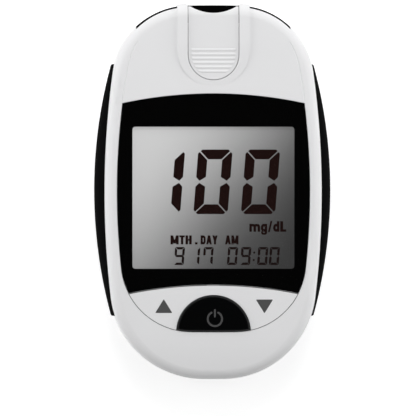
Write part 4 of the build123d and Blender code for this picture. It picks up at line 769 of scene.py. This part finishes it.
# Bold narrow letters as outlines in units of the capitals' height, each with its width
LETTERS = {
    "M": (
        0.92,
        [
            rectangle(0.0, 0.0, PEN, 1.0),
            rectangle(0.92 - PEN, 0.0, 0.92, 1.0),
            [(0.33, 0.1), (0.59, 0.1), (0.9, 1.0), (0.62, 1.0), (0.46, 0.46), (0.3, 1.0), (0.02, 1.0)],
        ],
    ),
    "T": (0.62, [rectangle(0.0, 0.79, 0.62, 1.0), rectangle(0.175, 0.0, 0.445, 0.9)]),
    "H": (
        0.7,
        [
            rectangle(0.0, 0.0, PEN, 1.0),
            rectangle(0.7 - PEN, 0.0, 0.7, 1.0),
            rectangle(0.1, 0.42, 0.6, 0.6),
        ],
    ),
    "D": (0.67, [rectangle(0.0, 0.0, PEN, 1.0)] + bowl(0.0, 0.67, 0.0, 1.0, PEN * 0.9)),
    "A": (
        0.74,
        [
            [(0.0, 0.0), (0.27, 0.0), (0.52, 1.0), (0.22, 1.0)],
            [(0.47, 0.0), (0.74, 0.0), (0.52, 1.0), (0.22, 1.0)],
            [(0.14, 0.2), (0.6, 0.2), (0.56, 0.38), (0.18, 0.38)],
        ],
    ),
    "Y": (
        0.7,
        [
            [(0.205, 0.4), (0.495, 0.4), (0.28, 1.0), (0.0, 1.0)],
            [(0.205, 0.4), (0.495, 0.4), (0.7, 1.0), (0.42, 1.0)],
            rectangle(0.205, 0.0, 0.495, 0.45),
        ],
    ),
    "m": (
        1.07,
        [
            hoop(0.0, 0.66, 0.0, 0.75, FINE_PEN),
            hoop(0.41, 1.07, 0.0, 0.75, FINE_PEN),
            rectangle(0.0, 0.0, FINE_PEN, 0.75),
        ],
    ),
    "g": (
        0.62,
        bowl(0.0, 0.62, 0.0, 0.75, FINE_PEN)
        + [rectangle(0.62 - FINE_PEN, -0.1, 0.62, 0.75)]
        + [upturned(hoop(0.02, 0.62, 0.1, 0.43, 0.18), 0.14)],
    ),
    "/": (0.44, [[(0.0, -0.04), (0.18, -0.04), (0.44, 1.03), (0.26, 1.03)]]),
    "d": (0.62, bowl(0.0, 0.62, 0.0, 0.75, FINE_PEN) + [rectangle(0.62 - FINE_PEN, 0.0, 0.62, 1.0)]),
    "L": (0.6, [rectangle(0.0, 0.0, PEN, 1.0), rectangle(0.0, 0.0, 0.6, 0.22)]),
    ".": (0.24, [rectangle(0.0, 0.0, 0.24, 0.24)]),
}
LETTER_SPACE = 0.08
# The unit of measure and the words over the date and time, each with its left and right side in mm
UNIT = ("mg/dL", 8.48, 17.14)
WORDS = (("MTH", -10.03, -5.05), (".", -4.29, -3.69), ("DAY", -2.97, 1.03), ("AM", 2.78, 5.93))


def word_outlines(word, left_mm, right_mm, base, height):
    """Outlines of a word's letters, spread from its left side to its right side."""
    natural = sum(LETTERS[letter][0] for letter in word) + LETTER_SPACE * (len(word) - 1)
    left = left_mm * MM
    squeeze = (right_mm * MM - left) / natural
    outlines, start = [], 0.0
    for letter in word:
        width, strokes = LETTERS[letter]
        for stroke in strokes:
            outlines.append([(left + (start + x) * squeeze, base + y * height) for x, y in stroke])
        start += width + LETTER_SPACE
    return outlines


def union_tree():
    """Joins strokes that overlap into single letters."""
    tree = new_geometry_tree("joined_strokes", [("Material", "NodeSocketMaterial")])
    source = add_node(tree, "NodeGroupInput")
    whole = add_node(
        tree,
        "GeometryNodeMeshBoolean",
        {"solver": "EXACT", "operation": "UNION", "Self Intersection": True},
        {"Mesh 2": source.outputs["Geometry"]},
    )
    close_geometry_tree(tree, source, whole.outputs["Mesh"])
    return tree


# ---------------------------------------------------------------- operators
def dress(material, *nodes):
    """Gives CAD nodes their finish."""
    for node in nodes:
        slots = NODES[node].data.materials
        slots.clear()
        slots.append(material)


# Small plastic and rubber parts that show on the back: finish, two near colours, roughness,
# grain and its depth in mm, and what is made of it
OUTER_SMALL_PARTS = (
    # Polyester film, calendered: a flat pale grey that is a little glossier than the case
    ("polyester_label", "#D2D3D5", "#CDCED1", 0.4, 0.3, 0.001, ("rear_label",)),
    # Rubber from a blasted mould: dull, dark and never quite black
    ("moulded_foot_rubber", "#1A1A1A", "#232323", 0.8, 0.3, 0.01, ("rubber_feet",)),
)


def dress_plastics(parts):
    """Gives each row of a table of plastics its material."""
    for name, code, other, roughness, grain_mm, depth_mm, nodes in parts:
        dress(moulded(name, linear(code), linear(other), roughness, grain_mm, depth_mm), *nodes)


class METER_OT_case(bpy.types.Operator):
    """Finish the covers, the end band and the side grips"""

    bl_idname = "meter.case"
    bl_label = "Case"

    def execute(self, context):
        colours = context.scene.meter_colours
        white = gloss_white_abs(colours)
        dress(white, "front_cover", "rear_cover", "battery_door", "eject_slider", "arrow_rocker")
        dress(satin_black_abs(colours), "top_band")
        dress(soft_touch_rubber(colours), "right_grip", "left_grip")
        dress_plastics(OUTER_SMALL_PARTS)
        return {"FINISHED"}


class METER_OT_window(bpy.types.Operator):
    """Build the clear window and the black print behind it"""

    bl_idname = "meter.window"
    bl_label = "Window"

    def execute(self, context):
        sizes = context.scene.meter_window
        thickness = sizes.print_thickness
        pane_mesh = merged_copy("display_lens")
        print_mesh = pane_mesh.copy()
        middle_z = (PANE_BACK_Z + FACE_Z) / 2
        for vertex in pane_mesh.vertices:
            if vertex.co.z < middle_z:
                vertex.co.z = PANE_BACK_Z + thickness
        for vertex in print_mesh.vertices:
            vertex.co.z = PANE_BACK_Z + (thickness if vertex.co.z > middle_z else 0.0)
        pane = place_piece("window_pane", pane_mesh, clear_acrylic(), "case")
        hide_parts("display_lens")
        wide, high = sizes.view_width / 2, sizes.view_height / 2
        view = rectangle(-wide, VIEW_MIDDLE_Y - high, wide, VIEW_MIDDLE_Y + high)
        opening = rounded_outline(view, sizes.view_corner, 8)
        cutter_mesh = prism_mesh("view_cutter", [opening], PANE_BACK_Z - MM, PANE_BACK_Z + MM)
        cutter = scratch_object("view_cutter", cutter_mesh)
        blank = scratch_object("print_blank", print_mesh)
        cut = blank.modifiers.new("view", "BOOLEAN")
        cut.operation, cut.solver, cut.object = "DIFFERENCE", "EXACT", cutter
        printed = baked(blank)
        bpy.data.objects.remove(cutter)
        place_piece("window_print", printed, black_back_print(), "case")
        return {"FINISHED"}


class METER_OT_display(bpy.types.Operator):
    """Build the display film, the lit segments and the words of the display"""

    bl_idname = "meter.display"
    bl_label = "Display"

    def execute(self, context):
        sizes = context.scene.meter_display
        colours = context.scene.meter_colours
        dress(liquid_crystal_film(colours), "lcd_polariser")
        dark = printed_ink("lit_liquid_crystal", colours.segment, 0.03)
        # The small digits have narrow segments, which look a little greyer
        thin = printed_ink("thin_liquid_crystal", linear("#1E1211"), 0.03)
        left, pitch = sizes.big_left, sizes.big_pitch
        reading = (("1", left - 2 * pitch), ("0", left - pitch), ("0", left))
        clock = [(character, place * MM) for character, place in CLOCK]
        big = segment_outlines(
            sizes.big_width, sizes.big_height, sizes.big_stroke, sizes.big_gap, sizes.big_waist
        )
        small = segment_outlines(
            sizes.small_width, sizes.small_height, sizes.small_stroke, sizes.small_gap, sizes.small_waist
        )
        for name, digits, outlines, base, material in (
            ("reading", reading, big, sizes.big_base, dark),
            ("date_and_time", clock, small, sizes.small_base, thin),
        ):
            mesh = lit_segments(name, digits, outlines, sizes.slant, base, material, sizes.ink)
            place_piece(name, mesh, material, "case")
        z_low = FILM_TOP_Z - sizes.ink / 2
        z_high = z_low + sizes.ink * 1.5
        words = word_outlines(*UNIT, sizes.unit_base, sizes.unit_height)
        for word in WORDS:
            words += word_outlines(*word, sizes.word_base, sizes.word_height)
        strokes = prism_mesh("word_strokes", words, z_low, z_high)
        letters = run_tree(union_tree(), strokes, {"Material": dark})
        place_piece("display_words", letters, dark, "case")
        lean = math.tan(sizes.slant)
        dots = []
        for rise in COLON_RISES:
            middle = ((COLON_X + lean * rise) * MM, sizes.small_base + rise * MM)
            dots.append(arc(middle, COLON_RADIUS * MM, 0, 345, 23))
        place_piece("clock_colon", prism_mesh("clock_colon", dots, z_low, z_high), thin, "case")
        return {"FINISHED"}


class METER_OT_keys(bpy.types.Operator):
    """Finish the power key and print the marks of the keys"""

    bl_idname = "meter.keys"
    bl_label = "Keys"

    def execute(self, context):
        sizes = context.scene.meter_keys
        colours = context.scene.meter_colours
        dress(gloss_black_abs(colours), "power_button")
        top_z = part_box("power_button")[1].z
        place_piece(
            "power_mark",
            prism_mesh("power_mark", self.power_outlines(sizes), top_z - sizes.ink, top_z + sizes.ink),
            printed_ink("grey_print_on_black", colours.power_mark),
            "power_key",
        )
        place_piece(
            "arrow_marks",
            prism_mesh("arrow_marks", self.arrow_outlines(sizes), FACE_Z - sizes.ink, FACE_Z + sizes.ink),
            printed_ink("grey_print_on_white", colours.mark),
            "rocker",
        )
        return {"FINISHED"}

    def power_outlines(self, sizes):
        """A ring that is open at the top, with round ends, and a bar in the opening."""
        half = sizes.power_stroke / 2
        centre = (sizes.power_x, sizes.power_y)
        opening = math.degrees(sizes.power_opening)
        start, end = 90 + opening, 450 - opening
        middle_r, inner_r = sizes.power_radius - half, sizes.power_radius - sizes.power_stroke
        ring = arc(centre, sizes.power_radius, start, end, 60)
        ring += arc(point_on(centre, middle_r, end), half, end, end + 180, 8)[1:-1]
        ring += arc(centre, inner_r, end, start, 60)
        ring += arc(point_on(centre, middle_r, start), half, start + 180, start + 360, 8)[1:-1]
        bar = rectangle(
            sizes.power_x - half, sizes.power_bar_low, sizes.power_x + half, sizes.power_bar_top
        )
        # Its ends are almost half circles
        return [ring, rounded_outline(bar, half * 0.98)]

    def arrow_outlines(self, sizes):
        """The upward and the downward arrow, their tips longer by what the rounding takes off."""
        top, foot = sizes.arrow_top, sizes.arrow_top - sizes.arrow_height
        half, tip, corner = sizes.arrow_half_width, sizes.arrow_tip, sizes.arrow_corner
        up = [(sizes.up_x, top + tip), (sizes.up_x - half, foot), (sizes.up_x + half, foot)]
        down = [(sizes.down_x - half, top), (sizes.down_x, foot - tip), (sizes.down_x + half, top)]
        return [rounded_outline(up, corner), rounded_outline(down, corner)]


class METER_OT_fasteners(bpy.types.Operator):
    """Build the four cross-headed case screws"""

    bl_idname = "meter.fasteners"
    bl_label = "Case screws"

    def execute(self, context):
        sizes = context.scene.meter_screws
        # Steel from a plating barrel: a dull blue-grey with soft highlights
        steel = metal(
            "zinc_plated_steel", "#A9ABB0", "#8E9096", roughness=0.35, streak_mm=0.4, stretch=PLATED
        )
        screw = scratch_object("screw_form", self.screw_mesh(sizes))
        points = bpy.data.meshes.new("screw_points")
        points.from_pydata(self.head_places(), [], [])
        mesh = run_tree(screw_tree(), points, {"Screw": screw, "Seed": 4, "Material": steel})
        bpy.data.objects.remove(screw)
        piece = place_piece("case_screw_set", mesh, steel, "case")
        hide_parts("case_screws")
        return {"FINISHED"}

    def screw_mesh(self, sizes):
        """One screw with its head at z = 0: a spun body, a cross recess and the flat face between them."""
        round_r = sizes.head_round
        tip_z = sizes.head_height + sizes.shank_length
        profile = []
        for degrees in range(0, 91, 15):
            x, z = point_on((sizes.head_radius - round_r, round_r), round_r, degrees - 90)
            profile.append((x, z))
        profile += [
            (sizes.head_radius, sizes.head_height),
            (sizes.shank_radius, sizes.head_height),
            (sizes.shank_radius, tip_z),
            (0.0, tip_z),
        ]
        bm = bmesh.new()
        line = [bm.verts.new((x, 0.0, z)) for x, z in profile]
        edges = [bm.edges.new(pair) for pair in zip(line, line[1:])]
        turn = {"cent": (0, 0, 0), "axis": (0, 0, 1), "angle": 2 * math.pi}
        bmesh.ops.spin(bm, geom=line + edges, steps=48, use_merge=True, **turn)
        bmesh.ops.remove_doubles(bm, verts=bm.verts, dist=0.0001 * MM)
        cross = self.cross_outline(sizes.recess_reach, sizes.recess_width / 2)
        narrower = sizes.recess_taper
        brim = [bm.verts.new((x, y, 0.0)) for x, y in cross]
        floor = [bm.verts.new((x * narrower, y * narrower, sizes.recess_depth)) for x, y in cross]
        for index in range(len(cross)):
            bm.faces.new((brim[index - 1], brim[index], floor[index], floor[index - 1]))
        bm.faces.new(floor)
        rims = [edge for edge in bm.edges if edge.is_boundary]
        bmesh.ops.triangle_fill(bm, edges=rims, use_beauty=True, use_dissolve=False)
        return mesh_from("screw_form", bm)

    def cross_outline(self, reach, half):
        """Outline of the cross recess: one arm's corners, turned by a quarter three times."""
        arm = [(half, half), (half, reach), (-half, reach)]
        cross = []
        for _ in range(4):
            cross += arm
            arm = [(-y, x) for x, y in arm]
        return cross

    def head_places(self):
        """Middle of each screw's head, from the frame's own screws."""
        screws = {}
        for vertex in NODES["case_screws"].data.vertices:
            corner = (vertex.co.x > 0, vertex.co.y > 0)
            screws.setdefault(corner, []).append(vertex.co)
        places = []
        for corner in sorted(screws):
            xs = [co.x for co in screws[corner]]
            ys = [co.y for co in screws[corner]]
            places.append(((min(xs) + max(xs)) / 2, (min(ys) + max(ys)) / 2, SCREW_HEAD_Z))
        return places


# Plastics inside the case, listed in the same way
INSIDE_PLASTICS = (
    # Foam tape, cast and slit: dull black with open cells
    ("adhesive_foam", "#151515", "#1C1C1C", 0.9, 0.3, 0.02, ("lens_gasket",)),
    # Float glass over the liquid crystal: smooth, with a green-grey cast
    ("display_glass", "#A9B0A9", "#A2AAA3", 0.1, 5.0, 0.0005, ("lcd_glass",)),
    # Moulded polystyrene: an even mid grey with a satin surface
    ("grey_polystyrene", "#8F9194", "#96989A", 0.5, 0.3, 0.002, ("lcd_holder",)),
    # Epoxy moulded over the chips and switches: charcoal with a fine sandy grain
    ("moulded_epoxy", "#1B1B1C", "#232324", 0.6, 0.15, 0.004, ("processor_chip", "tact_switches")),
    # Ceramic and moulded bodies of the small parts: mid grey and slightly glossy
    ("component_body", "#6D6E72", "#5D5E61", 0.45, 0.2, 0.002, ("board_components",)),
    # Moulded acetal: milky white and waxy
    ("natural_acetal", "#E4E4DE", "#DDDDD6", 0.4, 0.3, 0.002, ("ejector_pusher",)),
    # Moulded nylon without pigment: warm ivory
    ("natural_nylon", "#DAD6C8", "#D3CFC0", 0.5, 0.3, 0.003, ("strip_connector",)),
    # Moulded nylon with carbon black: dark with a low sheen
    ("black_nylon", "#141415", "#1B1B1C", 0.45, 0.3, 0.003, ("data_jack",)),
)
# Metals inside the case: finish, two near colours, roughness, streak width in mm, and what is made of it
INSIDE_METALS = (
    # Deep-drawn steel, nickel plated: bright silver with fine drawing lines
    (
        "nickel_plated_steel", "#C9CACC", "#B5B6B9", 0.25, 0.3,
        ("coin_cells", "spring_leaf_contacts", "rim_contacts"),
    ),
    # Electroplated gold on copper alloy: rich yellow and the smoothest metal here
    ("gold_plating", "#E2BE6A", "#D2AC55", 0.2, 0.3, ("strip_contacts",)),
    # Rolled brass sheet: pale yellow with rolling lines
    ("rolled_brass", "#D3B46C", "#BF9F58", 0.3, 0.4, ("sounder_disc", "sounder_pins")),
    # Cold-headed steel with a plain zinc coat: blue-grey
    ("plain_zinc", "#A9ABB0", "#8E9096", 0.35, 0.4, ("board_screws",)),
)


class METER_OT_inside(bpy.types.Operator):
    """Finish the parts inside the case"""

    bl_idname = "meter.inside"
    bl_label = "Inside parts"

    def execute(self, context):
        dress_plastics(INSIDE_PLASTICS)
        for name, code, other, roughness, streak_mm, nodes in INSIDE_METALS:
            dress(metal(name, code, other, roughness, streak_mm, DRAWN), *nodes)
        dress(solder_mask(), "main_board")
        # Conducting and insulating silicone in turn, sliced from a block: fine light and dark layers
        layers = moulded(
            "layered_silicone", linear("#C9C1BB"), linear("#5A5552"),
            roughness=0.6, grain_mm=0.1, depth_mm=0.001, patch_mm=0.6,
        )
        dress(layers, "zebra_strips")
        return {"FINISHED"}


def slab_of(mesh, name, x_low, x_high):
    """The part of a closed mesh between two planes across the meter, with its cut ends closed."""
    bm = bmesh.new()
    bm.from_mesh(mesh)
    for x, side in ((x_low, -1.0), (x_high, 1.0)):
        cut = bmesh.ops.bisect_plane(
            bm,
            geom=bm.verts[:] + bm.edges[:] + bm.faces[:],
            plane_co=(x, 0.0, 0.0),
            plane_no=(side, 0.0, 0.0),
            clear_outer=True,
        )
        edges = [part for part in cut["geom_cut"] if isinstance(part, bmesh.types.BMEdge)]
        if edges:
            bmesh.ops.edgeloop_fill(bm, edges=edges)
    return mesh_from(name, bm)


class METER_OT_flexing(bpy.types.Operator):
    """Make the return spring and the key mat, cut in three pieces, all riding on the case"""

    bl_idname = "meter.flexing"
    bl_label = "Spring and key mat"

    def execute(self, context):
        sizes = context.scene.meter_flexing
        # Hard-drawn spring wire: a dull silver
        steel = metal(
            "spring_steel", "#A6A8AC", "#8F9196", roughness=0.3, streak_mm=0.2, stretch=DRAWN
        )
        low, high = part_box("eject_spring")
        coil = place_piece("return_coil", merged_copy("eject_spring"), steel, "case")
        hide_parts("eject_spring")
        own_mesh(coil)
        # Compression-moulded silicone: soft, even and matt
        silicone = moulded(
            "silicone_rubber", linear("#8E9093"), linear("#999B9D"),
            roughness=0.55, grain_mm=0.3, depth_mm=0.003,
        )
        mat = merged_copy("keypad_mat")
        low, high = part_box("keypad_mat")
        edge = sizes.mat_split
        for name, joint, x_low, x_high in (
            ("mat_left", "rocker_tilt", low.x - edge, -edge),
            ("mat_middle", "power_press", -edge, edge),
            ("mat_right", "rocker_tilt", edge, high.x + edge),
        ):
            pad = place_piece(name, slab_of(mat, name, x_low, x_high), silicone, "case")
            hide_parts("keypad_mat")
            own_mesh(pad)
        return {"FINISHED"}


def backdrop(scene):
    """Studio round the meter: white walls, brightest at both sides, under a dark ceiling.

    The floor is seen from above only and lets light through, so the light that a white floor
    throws back comes from here, and the meter's back shows from below.
    """
    world = bpy.data.worlds.new("studio")
    scene.world = world
    world.use_nodes = True
    tree = world.node_tree
    tree.nodes.clear()
    place = add_node(tree, "ShaderNodeTexCoord")
    split = add_node(tree, "ShaderNodeSeparateXYZ", links={0: place.outputs["Generated"]})
    height, across = split.outputs["Z"], split.outputs["X"]
    side = add_node(tree, "ShaderNodeMath", {"operation": "ABSOLUTE"}, {0: across}).outputs[0]
    # Brightness by direction: how it runs, what it is read from, and its start, end, first and last level
    levels = {}
    for name, run, source, start, end, first, last in (
        ("mirror", "SMOOTHSTEP", height, 0.2, 0.9, 0.75, 0.02),
        ("overhead", "LINEAR", height, 0.0, 1.0, 0.72, 0.42),
        ("along", "LINEAR", split.outputs["Y"], -1.0, 1.0, 0.06, 1.15),
        ("sides", "LINEAR", side, 0.55, 1.0, 1.0, 7.2),
        ("thrown_back", "LINEAR", height, -1.0, 0.0, 0.38, 0.6),
    ):
        settings = {"From Min": start, "From Max": end, "To Min": first, "To Max": last}
        settings["interpolation_type"] = run
        levels[name] = add_node(tree, "ShaderNodeMapRange", settings, {"Value": source}).outputs[0]
    from_above = levels["overhead"]
    for name in ("along", "sides"):
        both = {0: from_above, 1: levels[name]}
        from_above = add_node(tree, "ShaderNodeMath", {"operation": "MULTIPLY"}, both).outputs[0]
    above = add_node(tree, "ShaderNodeMath", {"operation": "GREATER_THAN", 1: 0.0}, {0: height})
    rays = add_node(tree, "ShaderNodeLightPath")
    either = {0: rays.outputs["Is Glossy Ray"], 1: rays.outputs["Is Transmission Ray"]}
    mirrored = add_node(tree, "ShaderNodeMath", {"operation": "MAXIMUM"}, either)
    level = levels["thrown_back"]
    for choice, chosen in ((above, from_above), (mirrored, levels["mirror"])):
        blend = {0: choice.outputs[0], 2: level, 3: chosen}
        level = add_node(tree, "ShaderNodeMix", {"data_type": "FLOAT"}, blend).outputs[0]
    white_to_camera = {0: rays.outputs["Is Camera Ray"], 2: level}
    level = add_node(tree, "ShaderNodeMix", {"data_type": "FLOAT", 3: 1.0}, white_to_camera)
    light = add_node(tree, "ShaderNodeBackground", {"Color": WHITE}, {"Strength": level.outputs[0]})
    add_node(tree, "ShaderNodeOutputWorld", links={"Surface": light.outputs[0]})


def floor_material():
    """Matt white floor that the camera sees as white, apart from the meter's shadow.

    From below it is clear, so that the back of the meter can be looked at.
    """
    material, tree = new_material("white_floor")
    paint = add_node(tree, "ShaderNodeBsdfDiffuse", {"Color": linear("#F2F2F2")})
    rays = add_node(tree, "ShaderNodeLightPath")
    either = {0: rays.outputs["Is Camera Ray"], 1: rays.outputs["Is Glossy Ray"]}
    seen = add_node(tree, "ShaderNodeMath", {"operation": "MAXIMUM"}, either)
    lift = add_node(tree, "ShaderNodeMath", {"operation": "MULTIPLY", 1: 0.5}, {0: seen.outputs[0]})
    glow = add_node(tree, "ShaderNodeEmission", {"Color": WHITE}, {"Strength": lift.outputs[0]})
    both = add_node(tree, "ShaderNodeAddShader", links={0: paint.outputs[0], 1: glow.outputs[0]})
    clear = add_node(tree, "ShaderNodeBsdfTransparent", {"Color": WHITE})
    sheet = add_node(tree, "ShaderNodeNewGeometry")
    sides = {0: sheet.outputs["Backfacing"], 1: both.outputs[0], 2: clear.outputs[0]}
    finish_material(tree, add_node(tree, "ShaderNodeMixShader", links=sides))
    return material


def add_softbox(name, place, aim, width, height, power):
    """A rectangular lamp that lights the meter but shows in no mirror image and through no clear part."""
    lamp = bpy.data.lights.new(name, "AREA")
    lamp.shape = "RECTANGLE"
    lamp.size, lamp.size_y = width, height
    lamp.energy = power
    softbox = scratch_object(name, lamp)
    softbox.location = place
    softbox.rotation_euler = (Vector(aim) - Vector(place)).to_track_quat("-Z", "Y").to_euler()
    softbox.visible_glossy = False
    softbox.visible_transmission = False


class METER_OT_stage(bpy.types.Operator):
    """Build the floor, the lamp, the backdrop and the camera"""

    bl_idname = "meter.stage"
    bl_label = "Stage"

    def execute(self, context):
        scene = context.scene
        settings = scene.meter_stage
        scene.view_settings.view_transform = "Standard"
        backdrop(scene)
        half = settings.floor_size / 2
        corners = [(x, y, 0.0) for x, y in rectangle(-half, -half, half, half)]
        mesh = bpy.data.meshes.new("floor")
        mesh.from_pydata(corners, [], [(0, 1, 2, 3)])
        mesh.materials.append(floor_material())
        floor = scratch_object("floor", mesh)
        # The backdrop throws the light back in the floor's place
        floor.visible_diffuse = floor.visible_shadow = False
        add_softbox(
            "top_softbox",
            place=(0.0, 0.13, 0.26),
            aim=(0.0, 0.0, 0.0),
            width=0.14,
            height=0.1,
            power=settings.lamp_power,
        )
        camera = bpy.data.cameras.new("camera")
        camera.lens = camera.sensor_width * settings.distance / (PICTURE_PIXELS * settings.pixel)
        camera.clip_start, camera.clip_end = 0.05, 50.0
        seat = scratch_object("camera", camera)
        forward = Vector((math.sin(settings.turn), 0.0, -math.cos(settings.turn)))
        up = Vector((0.0, 1.0, 0.0))
        across = forward.cross(up)
        turn = Matrix((across, up, -forward)).transposed().to_4x4()
        aim = Vector((settings.aim_x, settings.aim_y, FACE_Z))
        seat.matrix_world = Matrix.Translation(aim - forward * settings.distance) @ turn
        scene.camera = seat
        return {"FINISHED"}


class METER_PT_sidebar(bpy.types.Panel):
    """Lists the sizes, the colours and the steps that build the meter's looks"""

    bl_label = "Blood glucose meter"
    bl_idname = "METER_PT_sidebar"
    bl_space_type = "VIEW_3D"
    bl_region_type = "UI"
    bl_category = "Meter"

    def draw(self, context):
        for group in GROUPS:
            settings = getattr(context.scene, group)
            box = self.layout.box()
            box.label(text=group.replace("_", " "))
            for prop in settings.bl_rna.properties:
                if not prop.is_readonly and prop.identifier != "name":
                    box.prop(settings, prop.identifier)
        for operator in OPERATORS:
            self.layout.operator(operator.bl_idname)


GROUPS = {
    "meter_window": MeterWindowSizes,
    "meter_display": MeterDisplaySizes,
    "meter_keys": MeterKeySizes,
    "meter_screws": MeterScrewSizes,
    "meter_flexing": MeterFlexingSizes,
    "meter_colours": MeterColours,
    "meter_stage": MeterStageSettings,
}
OPERATORS = (
    METER_OT_case,
    METER_OT_window,
    METER_OT_display,
    METER_OT_keys,
    METER_OT_fasteners,
    METER_OT_inside,
    METER_OT_flexing,
    METER_OT_stage,
)


def register():
    for group in GROUPS.values():
        bpy.utils.register_class(group)
    for name, group in GROUPS.items():
        setattr(bpy.types.Scene, name, bpy.props.PointerProperty(type=group))
    for operator in OPERATORS:
        bpy.utils.register_class(operator)
    bpy.utils.register_class(METER_PT_sidebar)


def unregister():
    bpy.utils.unregister_class(METER_PT_sidebar)
    for operator in reversed(OPERATORS):
        bpy.utils.unregister_class(operator)
    for name, group in GROUPS.items():
        delattr(bpy.types.Scene, name)
        bpy.utils.unregister_class(group)


def main():
    register()
    bpy.ops.meter.case()
    bpy.ops.meter.window()
    bpy.ops.meter.display()
    bpy.ops.meter.keys()
    bpy.ops.meter.fasteners()
    bpy.ops.meter.inside()
    bpy.ops.meter.flexing()
    bpy.ops.meter.stage()


if __name__ == "__main__":
    main()
